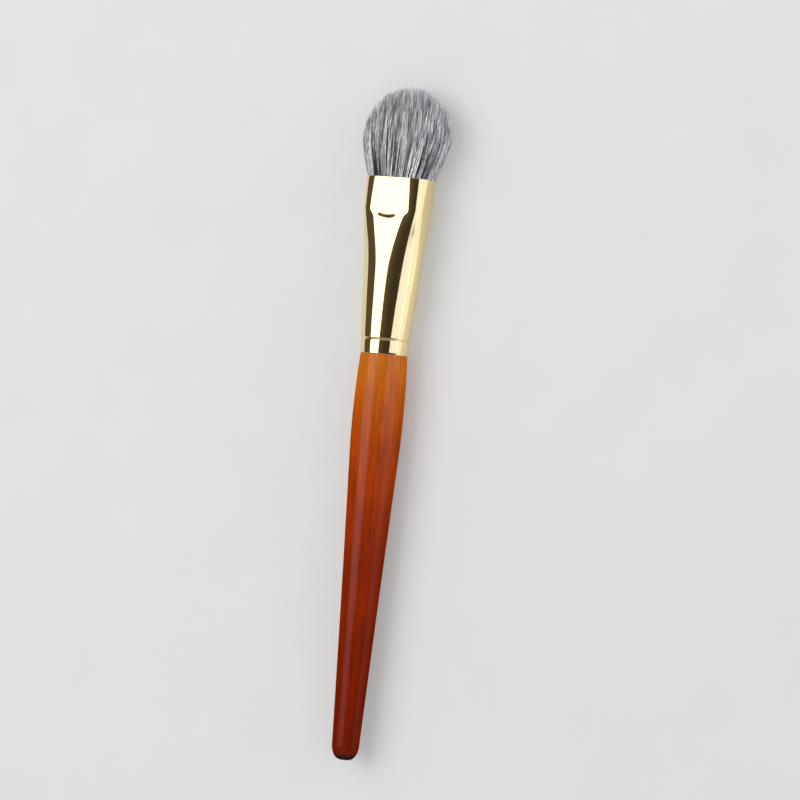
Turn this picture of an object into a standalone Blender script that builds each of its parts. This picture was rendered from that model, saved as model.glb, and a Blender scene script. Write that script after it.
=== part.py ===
"""Highlighter makeup brush: a turned wooden handle, a pressed brass ferrule and a domed tuft of hair.

The brush is modelled standing on its butt, the way it is turned and assembled, with local Z along
its axis, local Y across its wide side and local X through its thin side. One empty then lays it
down on a table: the butt points to world -X, the hair to world +X, and the thin side is upright.
"""

import math
import random
from dataclasses import dataclass

import bmesh
import bpy

MM = 0.001

# Lengths along the axis, from the butt to the tips of the hair
HANDLE_VISIBLE_LENGTH = 102.5 * MM
FERRULE_LENGTH = 44.5 * MM
HAIR_LENGTH = 23.0 * MM

# Gap that every piece keeps to the piece it seats on
SEAT_GAP = 0.3 * MM

# Handle: a long taper that swells to a knuckle below the ferrule
SHOULDER_DIAMETER = 11.8 * MM
NECK_DIAMETER = 12.4 * MM
NECK_DROP = 5.0 * MM
NECK_SOFTENING = 3.0 * MM
KNUCKLE_DIAMETER = 13.06 * MM
KNUCKLE_DROP = 17.0 * MM
KNUCKLE_SOFTENING = 6.0 * MM
BUTT_DIAMETER = 6.9 * MM
BUTT_DOME_LENGTH = 3.8 * MM
BUTT_FLAT_DIAMETER = 2.2 * MM
TAPER_HOLLOW = 0.08 * MM

# Tenon: the stub of the handle that is glued and crimped into the ferrule
TENON_LENGTH = 14.0 * MM
TENON_CHAMFER = 1.0 * MM
GLUE_GROOVE_HEIGHT = 8.0 * MM
GLUE_GROOVE_WIDTH = 2.6 * MM
GLUE_GROOVE_DEPTH = 0.9 * MM

# Ferrule: a round foot, a fuller belly and a mouth that is pressed to a flat oval
FERRULE_FOOT_DIAMETER = 12.06 * MM
FERRULE_WALL = 0.35 * MM
FERRULE_LIP_ROUND = 0.12 * MM
FERRULE_SWELL = 0.28 * MM
BELLY_THICKNESS = 12.9 * MM
BELLY_HEIGHT = 14.5 * MM
MOUTH_WIDTH = 17.0 * MM
MOUTH_THICKNESS = 11.0 * MM
ROUND_EXPONENT = 2.0
CREASE_EXPONENT = 3.5
MOUTH_EXPONENT = 2.9
PRESS_EXPONENT = 3.0
HAIR_EXPONENT = 2.3

# Crimp: the groove rolled round the foot, which bites into the tenon
CRIMP_HEIGHT = 3.8 * MM
CRIMP_WIDTH = 0.6 * MM
CRIMP_DEPTH = 0.16 * MM
CRIMP_SEAT_WIDTH = 1.2 * MM

# Crease: the curved fold that the press leaves on both faces, below the flat mouth
CREASE_DROP = 9.5 * MM
CREASE_SMILE = 1.3 * MM
CREASE_WIDTH = 0.9 * MM
CREASE_DEPTH = 0.3 * MM
CREASE_LENGTH = 11.0 * MM
CREASE_FADE_LENGTH = 10.0 * MM

# Hair: a flat domed tuft, rooted in a slice of its glued base
HAIR_WIDTH = 23.4 * MM
HAIR_THICKNESS = 12.8 * MM
HAIR_BELLY_HEIGHT = 12.0 * MM
HAIR_BASE_RECESS = 0.5 * MM
HAIR_BASE_THICKNESS = 2.0 * MM
STRAND_PITCH = 0.58 * MM
STRAND_DIAMETER = 0.40 * MM
STRAND_WANDER = 0.04 * MM
STRAND_EMBEDMENT = 0.4 * MM
TIP_RAGGEDNESS = 1.1 * MM

# Glued root of the hair, and the thread that binds it
ROOT_CHAMFER = 0.8 * MM
BINDING_HEIGHT = 6.0 * MM
THREAD_DIAMETER = 0.5 * MM
THREAD_TURN_GAP = 0.5 * MM
BINDING_MARGIN = 0.5 * MM

# Counts
TURNED_SIDES = 40
FERRULE_SIDES = 48
PLUG_SIDES = 32
SOFT_STEPS = 4
DOME_STEPS = 5
TAPER_STEPS = 6
BODY_RINGS = 9
PRESSED_RINGS = 2
STRAND_SIDES = 3
THREAD_TURNS = 3
THREAD_POINTS_PER_TURN = 20
TIP_HALVINGS = 20
HAIR_SEED = 11

# Shares of a strand's length at which it has a ring, and how much fuller it is there than at its root
STRAND_RING_SHARES = ((0.36, 1.25), (0.72, 1.0))

# Shares of the strands that are grey, near black and white
HAIR_TONE_SHARES = (0.30, 0.38, 0.32)

# How strongly the strands bend back as they fan out, and how far their roots fill the mouth's oval
FAN_SHARE = 0.7
ROOT_FILL_SHARE = 1.03

# Points of a turned piece that are closer than this share of the ferrule's wall become one
MERGE_SHARE_OF_WALL = 0.03

# Edges that turn by more than this are shaded sharp
SHARP_ANGLE = math.radians(35)

# Heights above the butt that follow from the sizes
FOOT_LEVEL = HANDLE_VISIBLE_LENGTH
MOUTH_LEVEL = FOOT_LEVEL + FERRULE_LENGTH
TENON_TOP_LEVEL = FOOT_LEVEL + TENON_LENGTH
HAIR_BASE_TOP_LEVEL = MOUTH_LEVEL - HAIR_BASE_RECESS
PLUG_TOP_LEVEL = HAIR_BASE_TOP_LEVEL - HAIR_BASE_THICKNESS - SEAT_GAP
PLUG_BOTTOM_LEVEL = TENON_TOP_LEVEL + SEAT_GAP
TENON_RADIUS = FERRULE_FOOT_DIAMETER / 2 - FERRULE_WALL - SEAT_GAP
TOTAL_LENGTH = HANDLE_VISIBLE_LENGTH + FERRULE_LENGTH + HAIR_LENGTH


def held(share):
    """A share that is held between 0 and 1."""
    return min(max(share, 0), 1)


def section_reach(angle, half_thin, half_wide, exponent):
    """Distance from the axis to a rounded oval outline, in the direction of the angle."""
    through = (abs(math.cos(angle)) / half_thin) ** exponent
    across = (abs(math.sin(angle)) / half_wide) ** exponent
    return (through + across) ** (-1 / exponent)


def press_share(level):
    """How far the tube is pressed flat at a level: 0 up to the belly, 1 from the crease on."""
    belly_level = FOOT_LEVEL + BELLY_HEIGHT
    crease_level = MOUTH_LEVEL - CREASE_DROP
    return held((level - belly_level) / (crease_level - belly_level)) ** PRESS_EXPONENT


def half_thin_at(level):
    """Half of the ferrule's thickness at a level, without its crease."""
    foot = FERRULE_FOOT_DIAMETER / 2
    belly = BELLY_THICKNESS / 2
    rise = (level - FOOT_LEVEL) / BELLY_HEIGHT
    if rise < 1:
        return foot + (belly - foot) * math.sin(rise * math.pi / 2)
    return belly + (MOUTH_THICKNESS / 2 - belly) * press_share(level)


def half_wide_at(level):
    """Half of the ferrule's width at a level."""
    foot = FERRULE_FOOT_DIAMETER / 2
    share = (level - FOOT_LEVEL) / FERRULE_LENGTH
    return foot + (MOUTH_WIDTH / 2 - foot) * share + FERRULE_SWELL * math.sin(math.pi * share)


def exponent_at(level):
    """How square the ferrule's oval is at a level: most at the crease, a little less at the mouth."""
    above_crease_share = held((level - MOUTH_LEVEL + CREASE_DROP) / CREASE_DROP)
    pressed = CREASE_EXPONENT + (MOUTH_EXPONENT - CREASE_EXPONENT) * above_crease_share
    return ROUND_EXPONENT + (pressed - ROUND_EXPONENT) * press_share(level)


def ferrule_reach(angle, level):
    """Distance from the axis to the ferrule's outer face, without its crease."""
    return section_reach(angle, half_thin_at(level), half_wide_at(level), exponent_at(level))


def face_share(angle, level):
    """1 at the middle of a pressed face, falling to 0 at the ends of its crease."""
    across = ferrule_reach(angle, level) * math.sin(angle)
    return max(0, 1 - (across / (CREASE_LENGTH / 2)) ** 2)


def crease_level_at(angle):
    """Level of the crease line, which sags like a smile on each face."""
    lowest = MOUTH_LEVEL - CREASE_DROP
    return lowest + CREASE_SMILE * (1 - face_share(angle, lowest))


def crease_lift(angle, level):
    """How far the tube stands proud just below the crease line."""
    below = crease_level_at(angle) - level
    ramp = held(below / CREASE_WIDTH)
    fade = held(1 - (below - CREASE_WIDTH) / CREASE_FADE_LENGTH) ** 2
    return CREASE_DEPTH * face_share(angle, level) * ramp * fade


def ring_at(level, inset, sides, follows_crease=False):
    """A ring of points round the ferrule's outer face at a level, moved inwards by the inset."""
    ring = []
    for step in range(sides):
        angle = 2 * math.pi * step / sides
        height = level + crease_level_at(angle) if follows_crease else level
        reach = ferrule_reach(angle, height) + crease_lift(angle, height) - inset
        ring.append((reach * math.cos(angle), reach * math.sin(angle), height))
    return ring


def levels_between(low, high, count):
    """Evenly spaced levels between two levels, without the two."""
    return [low + (high - low) * (step + 1) / (count + 1) for step in range(count)]


def creased_rings(inset, sides):
    """The two rings of the crease: the proud one below it and the pressed one on its line."""
    return [ring_at(-CREASE_WIDTH, inset, sides, True), ring_at(0, inset, sides, True)]


def crease_bounds():
    """Lowest and highest level that the rings of the crease reach."""
    lowest = MOUTH_LEVEL - CREASE_DROP
    return lowest - CREASE_WIDTH, lowest + CREASE_SMILE


def lofted(name, rings, materials, tube=False):
    """A closed mesh through rings of equal count, capped at both ends or joined into a tube."""
    shape = bmesh.new()
    loops = [[shape.verts.new(point) for point in ring] for ring in rings]
    pairs = list(zip(loops, loops[1:]))
    if tube:
        pairs.append((loops[-1], loops[0]))
    for lower, upper in pairs:
        skinned(shape, lower, upper)
    if not tube:
        shape.faces.new(loops[0][::-1])
        shape.faces.new(loops[-1])
    bmesh.ops.recalc_face_normals(shape, faces=shape.faces)
    return placed(name, mesh_from(name, shape), materials)


def skinned(shape, lower, upper):
    """The band of faces between two rings of equal count."""
    faces = []
    for step, corner in enumerate(lower):
        following = (step + 1) % len(lower)
        faces.append(shape.faces.new((corner, lower[following], upper[following], upper[step])))
    return faces


def turned(name, outline, material):
    """A turned piece: its outline of radius and height runs down its outer side, top to bottom."""
    shape = bmesh.new()
    points = [shape.verts.new((radius, 0, height)) for radius, height in outline]
    for upper, lower in zip(points, points[1:]):
        shape.edges.new((upper, lower))
    piece = placed(name, mesh_from(name, shape), [material])
    screw = piece.modifiers.new("Turned", "SCREW")
    screw.steps = TURNED_SIDES
    screw.render_steps = TURNED_SIDES
    screw.use_merge_vertices = True
    screw.merge_threshold = FERRULE_WALL * MERGE_SHARE_OF_WALL
    return piece


def mesh_from(name, shape):
    """A Blender mesh made from a bmesh, shaded smooth up to the sharp edges."""
    mesh = bpy.data.meshes.new(name)
    shape.to_mesh(mesh)
    shape.free()
    mesh.shade_smooth()
    mesh.set_sharp_from_angle(angle=SHARP_ANGLE)
    return mesh


def placed(name, data, materials, collection_name="Highlighter brush"):
    """An object on the brush's axis, in a collection, with its materials."""
    piece = bpy.data.objects.new(name, data)
    bpy.data.collections[collection_name].objects.link(piece)
    piece.parent = bpy.data.objects["brush_axis"]
    for material in materials:
        data.materials.append(material)
    return piece


def finish(name, colour, roughness, metallic=0.0):
    """A Principled material."""
    material = bpy.data.materials.new(name)
    material.use_nodes = True
    shader = material.node_tree.nodes["Principled BSDF"]
    shader.inputs["Base Color"].default_value = (*colour, 1)
    shader.inputs["Roughness"].default_value = roughness
    shader.inputs["Metallic"].default_value = metallic
    return material


def softened(corners, softenings):
    """A line through corners, each inner corner rounded over its own length to both sides."""
    line = [corners[0]]
    for before, corner, after, reach in zip(corners, corners[1:], corners[2:], softenings):
        start = toward(corner, before, reach)
        end = toward(corner, after, reach)
        for step in range(SOFT_STEPS + 1):
            share = step / SOFT_STEPS
            first = mixed(start, corner, share)
            second = mixed(corner, end, share)
            line.append(mixed(first, second, share))
    line.append(corners[-1])
    return line


def mixed(first, second, share):
    """The point at a share of the way from the first to the second."""
    return tuple(a + (b - a) * share for a, b in zip(first, second))


def toward(start, end, distance):
    """The point at a distance from the start, on the way to the end."""
    return mixed(start, end, distance / math.dist(start, end))


def handle_side():
    """The visible side of the handle, as radius and height from the shoulder down to the butt."""
    corners = [
        (SHOULDER_DIAMETER / 2, FOOT_LEVEL - SEAT_GAP),
        (NECK_DIAMETER / 2, FOOT_LEVEL - NECK_DROP),
        (KNUCKLE_DIAMETER / 2, FOOT_LEVEL - KNUCKLE_DROP),
        (BUTT_DIAMETER / 2, BUTT_DOME_LENGTH),
    ]
    side = softened(corners, (NECK_SOFTENING, KNUCKLE_SOFTENING))
    top, bottom = side[-2], side.pop()
    for step in range(1, TAPER_STEPS):
        share = step / TAPER_STEPS
        radius, height = mixed(top, bottom, share)
        side.append((radius - TAPER_HOLLOW * math.sin(math.pi * share), height))
    flat = BUTT_FLAT_DIAMETER / 2
    for step in range(DOME_STEPS + 1):
        turn = math.pi / 2 * step / DOME_STEPS
        radius = flat + (BUTT_DIAMETER / 2 - flat) * math.cos(turn)
        side.append((radius, BUTT_DOME_LENGTH * (1 - math.sin(turn))))
    return side


def tenon_side():
    """The tenon's side from its end down to the shoulder, with its glue groove and crimp seat."""
    groove_middle = FOOT_LEVEL + GLUE_GROOVE_HEIGHT
    groove_floor = TENON_RADIUS - GLUE_GROOVE_DEPTH
    seat_middle = FOOT_LEVEL + CRIMP_HEIGHT
    return [
        (0, TENON_TOP_LEVEL),
        (TENON_RADIUS - TENON_CHAMFER, TENON_TOP_LEVEL),
        (TENON_RADIUS, TENON_TOP_LEVEL - TENON_CHAMFER),
        (TENON_RADIUS, groove_middle + GLUE_GROOVE_WIDTH / 2),
        (groove_floor, groove_middle + GLUE_GROOVE_WIDTH / 2),
        (groove_floor, groove_middle - GLUE_GROOVE_WIDTH / 2),
        (TENON_RADIUS, groove_middle - GLUE_GROOVE_WIDTH / 2),
        (TENON_RADIUS, seat_middle + CRIMP_SEAT_WIDTH / 2),
        (TENON_RADIUS - CRIMP_DEPTH, seat_middle),
        (TENON_RADIUS, seat_middle - CRIMP_SEAT_WIDTH / 2),
        (TENON_RADIUS, FOOT_LEVEL - SEAT_GAP),
    ]


def build_handle():
    """The turned handle, one piece with its tenon."""
    wood = finish("lacquered_wood", (0.46, 0.12, 0.025), 0.28)
    return turned("handle", tenon_side() + handle_side() + [(0, 0)], wood)


def build_handle_glue():
    """The ring of hardened glue between the tenon's groove and the ferrule's wall."""
    middle = FOOT_LEVEL + GLUE_GROOVE_HEIGHT
    half_height = GLUE_GROOVE_WIDTH / 2 - SEAT_GAP
    inner = TENON_RADIUS - GLUE_GROOVE_DEPTH + SEAT_GAP
    outer_low = half_thin_at(middle - half_height) - FERRULE_WALL - SEAT_GAP
    outer_high = half_thin_at(middle + half_height) - FERRULE_WALL - SEAT_GAP
    outline = [
        (inner, middle + half_height),
        (outer_high, middle + half_height),
        (outer_low, middle - half_height),
        (inner, middle - half_height),
        (inner, middle + half_height),
    ]
    return turned("handle_glue", outline, finish("clear_glue", (0.72, 0.55, 0.30), 0.35))


def build_ferrule():
    """The brass tube: rings up its outer face and down its inner one, joined round both lips."""
    crease_low, crease_high = crease_bounds()
    crimp = FOOT_LEVEL + CRIMP_HEIGHT
    crimp_top = crimp + CRIMP_WIDTH / 2
    body = levels_between(crimp_top, crease_low, BODY_RINGS)
    pressed = levels_between(crease_high, MOUTH_LEVEL, PRESSED_RINGS)
    outer = [
        ring_at(FOOT_LEVEL, FERRULE_LIP_ROUND, FERRULE_SIDES),
        ring_at(FOOT_LEVEL + FERRULE_LIP_ROUND, 0, FERRULE_SIDES),
        ring_at(crimp - CRIMP_WIDTH / 2, 0, FERRULE_SIDES),
        ring_at(crimp, CRIMP_DEPTH, FERRULE_SIDES),
        ring_at(crimp_top, 0, FERRULE_SIDES),
    ]
    outer += [ring_at(level, 0, FERRULE_SIDES) for level in body]
    outer += creased_rings(0, FERRULE_SIDES)
    outer += [ring_at(level, 0, FERRULE_SIDES) for level in pressed]
    outer.append(ring_at(MOUTH_LEVEL - FERRULE_LIP_ROUND, 0, FERRULE_SIDES))
    outer.append(ring_at(MOUTH_LEVEL, FERRULE_LIP_ROUND, FERRULE_SIDES))
    inner = [ring_at(FOOT_LEVEL, FERRULE_WALL, FERRULE_SIDES)]
    inner.append(ring_at(crimp, FERRULE_WALL, FERRULE_SIDES))
    inner += [ring_at(level, FERRULE_WALL, FERRULE_SIDES) for level in body]
    inner += creased_rings(FERRULE_WALL, FERRULE_SIDES)
    inner += [ring_at(level, FERRULE_WALL, FERRULE_SIDES) for level in pressed]
    inner.append(ring_at(MOUTH_LEVEL, FERRULE_WALL, FERRULE_SIDES))
    brass = finish("gold_plated_brass", (1.0, 0.78, 0.36), 0.12, 1.0)
    return lofted("ferrule", outer + inner[::-1], [brass], tube=True)


def binding_bounds():
    """Lowest and highest level of the waist that the thread lies in."""
    low = PLUG_BOTTOM_LEVEL + BINDING_HEIGHT
    height = THREAD_TURNS * (THREAD_DIAMETER + THREAD_TURN_GAP) + THREAD_DIAMETER
    return low, low + height + 2 * BINDING_MARGIN


def build_root_plug():
    """The glued root of the hair, which fills the ferrule and has a waist for the thread."""
    inset = FERRULE_WALL + SEAT_GAP
    waist_inset = inset + THREAD_DIAMETER + SEAT_GAP
    waist_low, waist_high = binding_bounds()
    crease_low, crease_high = crease_bounds()
    plain = levels_between(waist_high, crease_low, BODY_RINGS // 2)
    rings = [
        ring_at(PLUG_BOTTOM_LEVEL, inset + ROOT_CHAMFER, PLUG_SIDES),
        ring_at(PLUG_BOTTOM_LEVEL + ROOT_CHAMFER, inset, PLUG_SIDES),
        ring_at(waist_low, inset, PLUG_SIDES),
        ring_at(waist_low, waist_inset, PLUG_SIDES),
        ring_at(waist_high, waist_inset, PLUG_SIDES),
        ring_at(waist_high, inset, PLUG_SIDES),
    ]
    rings += [ring_at(level, inset, PLUG_SIDES) for level in plain]
    rings += creased_rings(inset, PLUG_SIDES)
    rings += [ring_at(level, inset, PLUG_SIDES) for level in levels_between(crease_high, PLUG_TOP_LEVEL, 1)]
    rings.append(ring_at(PLUG_TOP_LEVEL, inset, PLUG_SIDES))
    return lofted("root_plug", rings, [finish("glued_hair_root", (0.42, 0.30, 0.16), 0.5)])


def thread_points():
    """The middle line of the thread's winding, in the waist of the root plug."""
    pitch = THREAD_DIAMETER + THREAD_TURN_GAP
    inset = FERRULE_WALL + SEAT_GAP + THREAD_DIAMETER / 2
    low = binding_bounds()[0] + BINDING_MARGIN + THREAD_DIAMETER / 2
    points = []
    for step in range(THREAD_TURNS * THREAD_POINTS_PER_TURN + 1):
        turns = step / THREAD_POINTS_PER_TURN
        angle = 2 * math.pi * turns
        level = low + pitch * turns
        reach = ferrule_reach(angle, level) - inset
        points.append((reach * math.cos(angle), reach * math.sin(angle), level))
    return points


def least_turn_gap(points):
    """Least gap between one turn of the thread and the next, measured on its points."""
    gaps = []
    for step, point in enumerate(points):
        for other in points[step + THREAD_POINTS_PER_TURN // 2:]:
            gaps.append(math.dist(point, other) - THREAD_DIAMETER)
    return min(gaps)


def build_binding_thread():
    """The thread that binds the root of the hair before it is glued."""
    points = thread_points()
    curve = bpy.data.curves.new("binding_thread", "CURVE")
    curve.dimensions = "3D"
    curve.bevel_depth = THREAD_DIAMETER / 2
    curve.bevel_resolution = 1
    curve.use_fill_caps = True
    spline = curve.splines.new("POLY")
    spline.points.add(len(points) - 1)
    for target, point in zip(spline.points, points):
        target.co = (*point, 1)
    print(f"least gap between turns of the thread: {least_turn_gap(points) / MM:.2f} mm")
    return placed("binding_thread", curve, [finish("cotton_thread", (0.80, 0.77, 0.70), 0.85)])


@dataclass
class Strand:
    """One strand, by where it stands in the mouth: shares of its half sizes, from -1 to 1."""

    through: float
    across: float
    half_thin: float
    half_wide: float

    def half_sizes(self, height):
        """Half of the tuft's thickness and of its width at a height over the mouth."""
        rise = max(height / HAIR_BELLY_HEIGHT, 0)
        spread = (1 + FAN_SHARE) * rise - FAN_SHARE * rise ** 2
        return (
            self.half_thin + (HAIR_THICKNESS / 2 - self.half_thin) * spread,
            self.half_wide + (HAIR_WIDTH / 2 - self.half_wide) * spread,
        )

    def centre(self, height):
        """Where the strand's middle line is at a height over the mouth."""
        half_thin, half_wide = self.half_sizes(height)
        return self.through * half_thin, self.across * half_wide

    def fullness(self, height):
        """How much further apart the strands are at a height than at their roots."""
        return self.half_sizes(height)[0] / self.half_thin

    def reach(self, height):
        """Share of the tuft's outline that the strand has come out to at a height."""
        through, across = self.centre(height)
        through = abs(2 * through / HAIR_THICKNESS) ** HAIR_EXPONENT
        across = abs(2 * across / HAIR_WIDTH) ** HAIR_EXPONENT
        return (through + across) ** (1 / HAIR_EXPONENT)

    def tip_height(self):
        """Height over the mouth at which the strand meets the dome of the tuft, by halving."""
        low, high = 0, HAIR_LENGTH
        for _ in range(TIP_HALVINGS):
            middle = (low + high) / 2
            dome = math.sqrt(max(0, 1 - self.reach(middle) ** 2))
            if middle < HAIR_BELLY_HEIGHT + (HAIR_LENGTH - HAIR_BELLY_HEIGHT) * dome:
                low = middle
            else:
                high = middle
        return high


def strands_in_mouth():
    """The strands, in staggered rows that fill the rounded oval of the mouth."""
    edge = FERRULE_WALL + SEAT_GAP + STRAND_DIAMETER / 2
    half_wide = half_wide_at(HAIR_BASE_TOP_LEVEL) - edge
    half_thin = half_thin_at(HAIR_BASE_TOP_LEVEL) - edge
    columns = round(half_wide / STRAND_PITCH)
    # An even number of rows puts a full row on each outer face
    rows = 2 * round(half_thin / STRAND_PITCH / 2)
    for row in range(-rows, rows + 1):
        for column in range(-columns, columns + 1):
            through = row / rows
            across = (column + (row % 2) / 2) / columns
            if abs(through) ** MOUTH_EXPONENT + abs(across) ** MOUTH_EXPONENT <= ROOT_FILL_SHARE:
                yield Strand(through, across, half_thin, half_wide)


def add_strand(shape, strand, chance):
    """Adds one slim prism that starts inside the base, swells as the tuft fans and ends in a point."""
    tip = strand.tip_height() - TIP_RAGGEDNESS * chance.random() * strand.reach(0)
    turn = chance.random() * 2 * math.pi
    wander = [chance.uniform(-1, 1) * STRAND_WANDER for _ in range(2)]
    rings = [(-HAIR_BASE_RECESS - STRAND_EMBEDMENT, STRAND_DIAMETER, 0)]
    for length_share, diameter_share in STRAND_RING_SHARES:
        height = tip * length_share
        diameter = STRAND_DIAMETER * diameter_share * strand.fullness(height)
        rings.append((height, diameter, 1))
    loops = []
    for height, diameter, wanders in rings:
        centre = [value + shift * wanders for value, shift in zip(strand.centre(height), wander)]
        loop = []
        for side in range(STRAND_SIDES):
            angle = turn + 2 * math.pi * side / STRAND_SIDES
            loop.append(shape.verts.new((
                centre[0] + diameter / 2 * math.cos(angle),
                centre[1] + diameter / 2 * math.sin(angle),
                MOUTH_LEVEL + height,
            )))
        loops.append(loop)
    point = shape.verts.new((*strand.centre(tip), MOUTH_LEVEL + tip))
    faces = [shape.faces.new(reversed(loops[0]))]
    for lower, upper in zip(loops, loops[1:]):
        faces += skinned(shape, lower, upper)
    for side in range(STRAND_SIDES):
        faces.append(shape.faces.new((loops[-1][side], loops[-1][(side + 1) % STRAND_SIDES], point)))
    tone = chance.choices(range(len(HAIR_TONE_SHARES)), HAIR_TONE_SHARES)[0]
    for face in faces:
        face.material_index = tone


def build_hair():
    """The tuft: strands joined to the top slice of the glued hair root."""
    inset = FERRULE_WALL + SEAT_GAP
    tones = [
        finish("grey_hair", (0.24, 0.24, 0.26), 0.6),
        finish("dark_hair", (0.045, 0.047, 0.058), 0.5),
        finish("pale_hair", (0.62, 0.63, 0.64), 0.6),
    ]
    levels = (HAIR_BASE_TOP_LEVEL - HAIR_BASE_THICKNESS, HAIR_BASE_TOP_LEVEL)
    hair = lofted("hair", [ring_at(level, inset, FERRULE_SIDES) for level in levels], tones)
    shape = bmesh.new()
    chance = random.Random(HAIR_SEED)
    strands = list(strands_in_mouth())
    for strand in strands:
        add_strand(shape, strand, chance)
    print(f"strands of hair: {len(strands)}")
    joined = placed("hair_strands", mesh_from("hair_strands", shape), tones, "Cutters")
    joined.hide_render = True
    joined.display_type = "WIRE"
    union = hair.modifiers.new("Strands", "BOOLEAN")
    union.operation = "UNION"
    union.solver = "EXACT"
    union.object = joined


def clear_scene():
    """Removes what the file holds, and makes the collections and the axis of the brush."""
    for old in list(bpy.data.objects):
        bpy.data.objects.remove(old)
    for name in ("Highlighter brush", "Cutters"):
        collection = bpy.data.collections.new(name)
        bpy.context.scene.collection.children.link(collection)
    axis = bpy.data.objects.new("brush_axis", None)
    bpy.data.collections["Highlighter brush"].objects.link(axis)
    widest = max(radius for radius, _ in handle_side())
    lowest = max(widest, BELLY_THICKNESS / 2, HAIR_THICKNESS / 2)
    axis.location = (-TOTAL_LENGTH / 2, 0, lowest)
    axis.rotation_euler = (0, math.pi / 2, 0)


clear_scene()
build_handle()
build_handle_glue()
build_ferrule()
build_root_plug()
build_binding_thread()
build_hair()
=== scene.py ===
"""Looks of a highlighter makeup brush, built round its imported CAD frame.

The brush lies on the floor along X: its butt points to -X, the tips of its hair to +X, its wide
side lies across Y and its thin side is upright. Every length is in metres, but for the finishes'
places on a piece, which are in millimetres.
"""

import logging
import math
from dataclasses import dataclass, field
from enum import Enum
from functools import reduce

import bpy
import numpy as np
from mathutils import Euler, Matrix, Vector


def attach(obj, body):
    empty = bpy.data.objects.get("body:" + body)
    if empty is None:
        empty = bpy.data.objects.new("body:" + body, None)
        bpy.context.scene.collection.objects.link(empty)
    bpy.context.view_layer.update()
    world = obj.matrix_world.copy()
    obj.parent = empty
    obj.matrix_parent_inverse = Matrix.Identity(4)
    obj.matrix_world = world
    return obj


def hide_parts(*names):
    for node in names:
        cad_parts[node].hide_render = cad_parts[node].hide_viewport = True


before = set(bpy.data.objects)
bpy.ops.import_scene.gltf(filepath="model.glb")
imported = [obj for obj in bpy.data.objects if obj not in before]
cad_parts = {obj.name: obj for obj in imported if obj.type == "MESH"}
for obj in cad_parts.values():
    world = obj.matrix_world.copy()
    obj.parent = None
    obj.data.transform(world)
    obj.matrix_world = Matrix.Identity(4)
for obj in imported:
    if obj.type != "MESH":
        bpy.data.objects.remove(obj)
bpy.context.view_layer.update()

LOG = logging.getLogger("highlighter_brush")
MM = 0.001
BODY = "root"
SHARP_ANGLE = math.radians(40)
MERGE_DISTANCE = 0.001 * MM

Outline = list[tuple[float, float]]
Range = tuple[float, float]
Triple = tuple[float, float, float]
Colour = tuple[float, float, float]


# Places along the brush and its pressed form

@dataclass(frozen=True)
class Layout:
    """Where the pieces of the brush lie along X, and how high its axis is over the floor."""

    butt: float = -85.0 * MM
    foot: float = 17.5 * MM
    mouth: float = 62.0 * MM
    axis_height: float = 6.45 * MM

    @property
    def ferrule_length(self) -> float:
        """Length of the ferrule, from its foot to its mouth."""
        return self.mouth - self.foot


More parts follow.
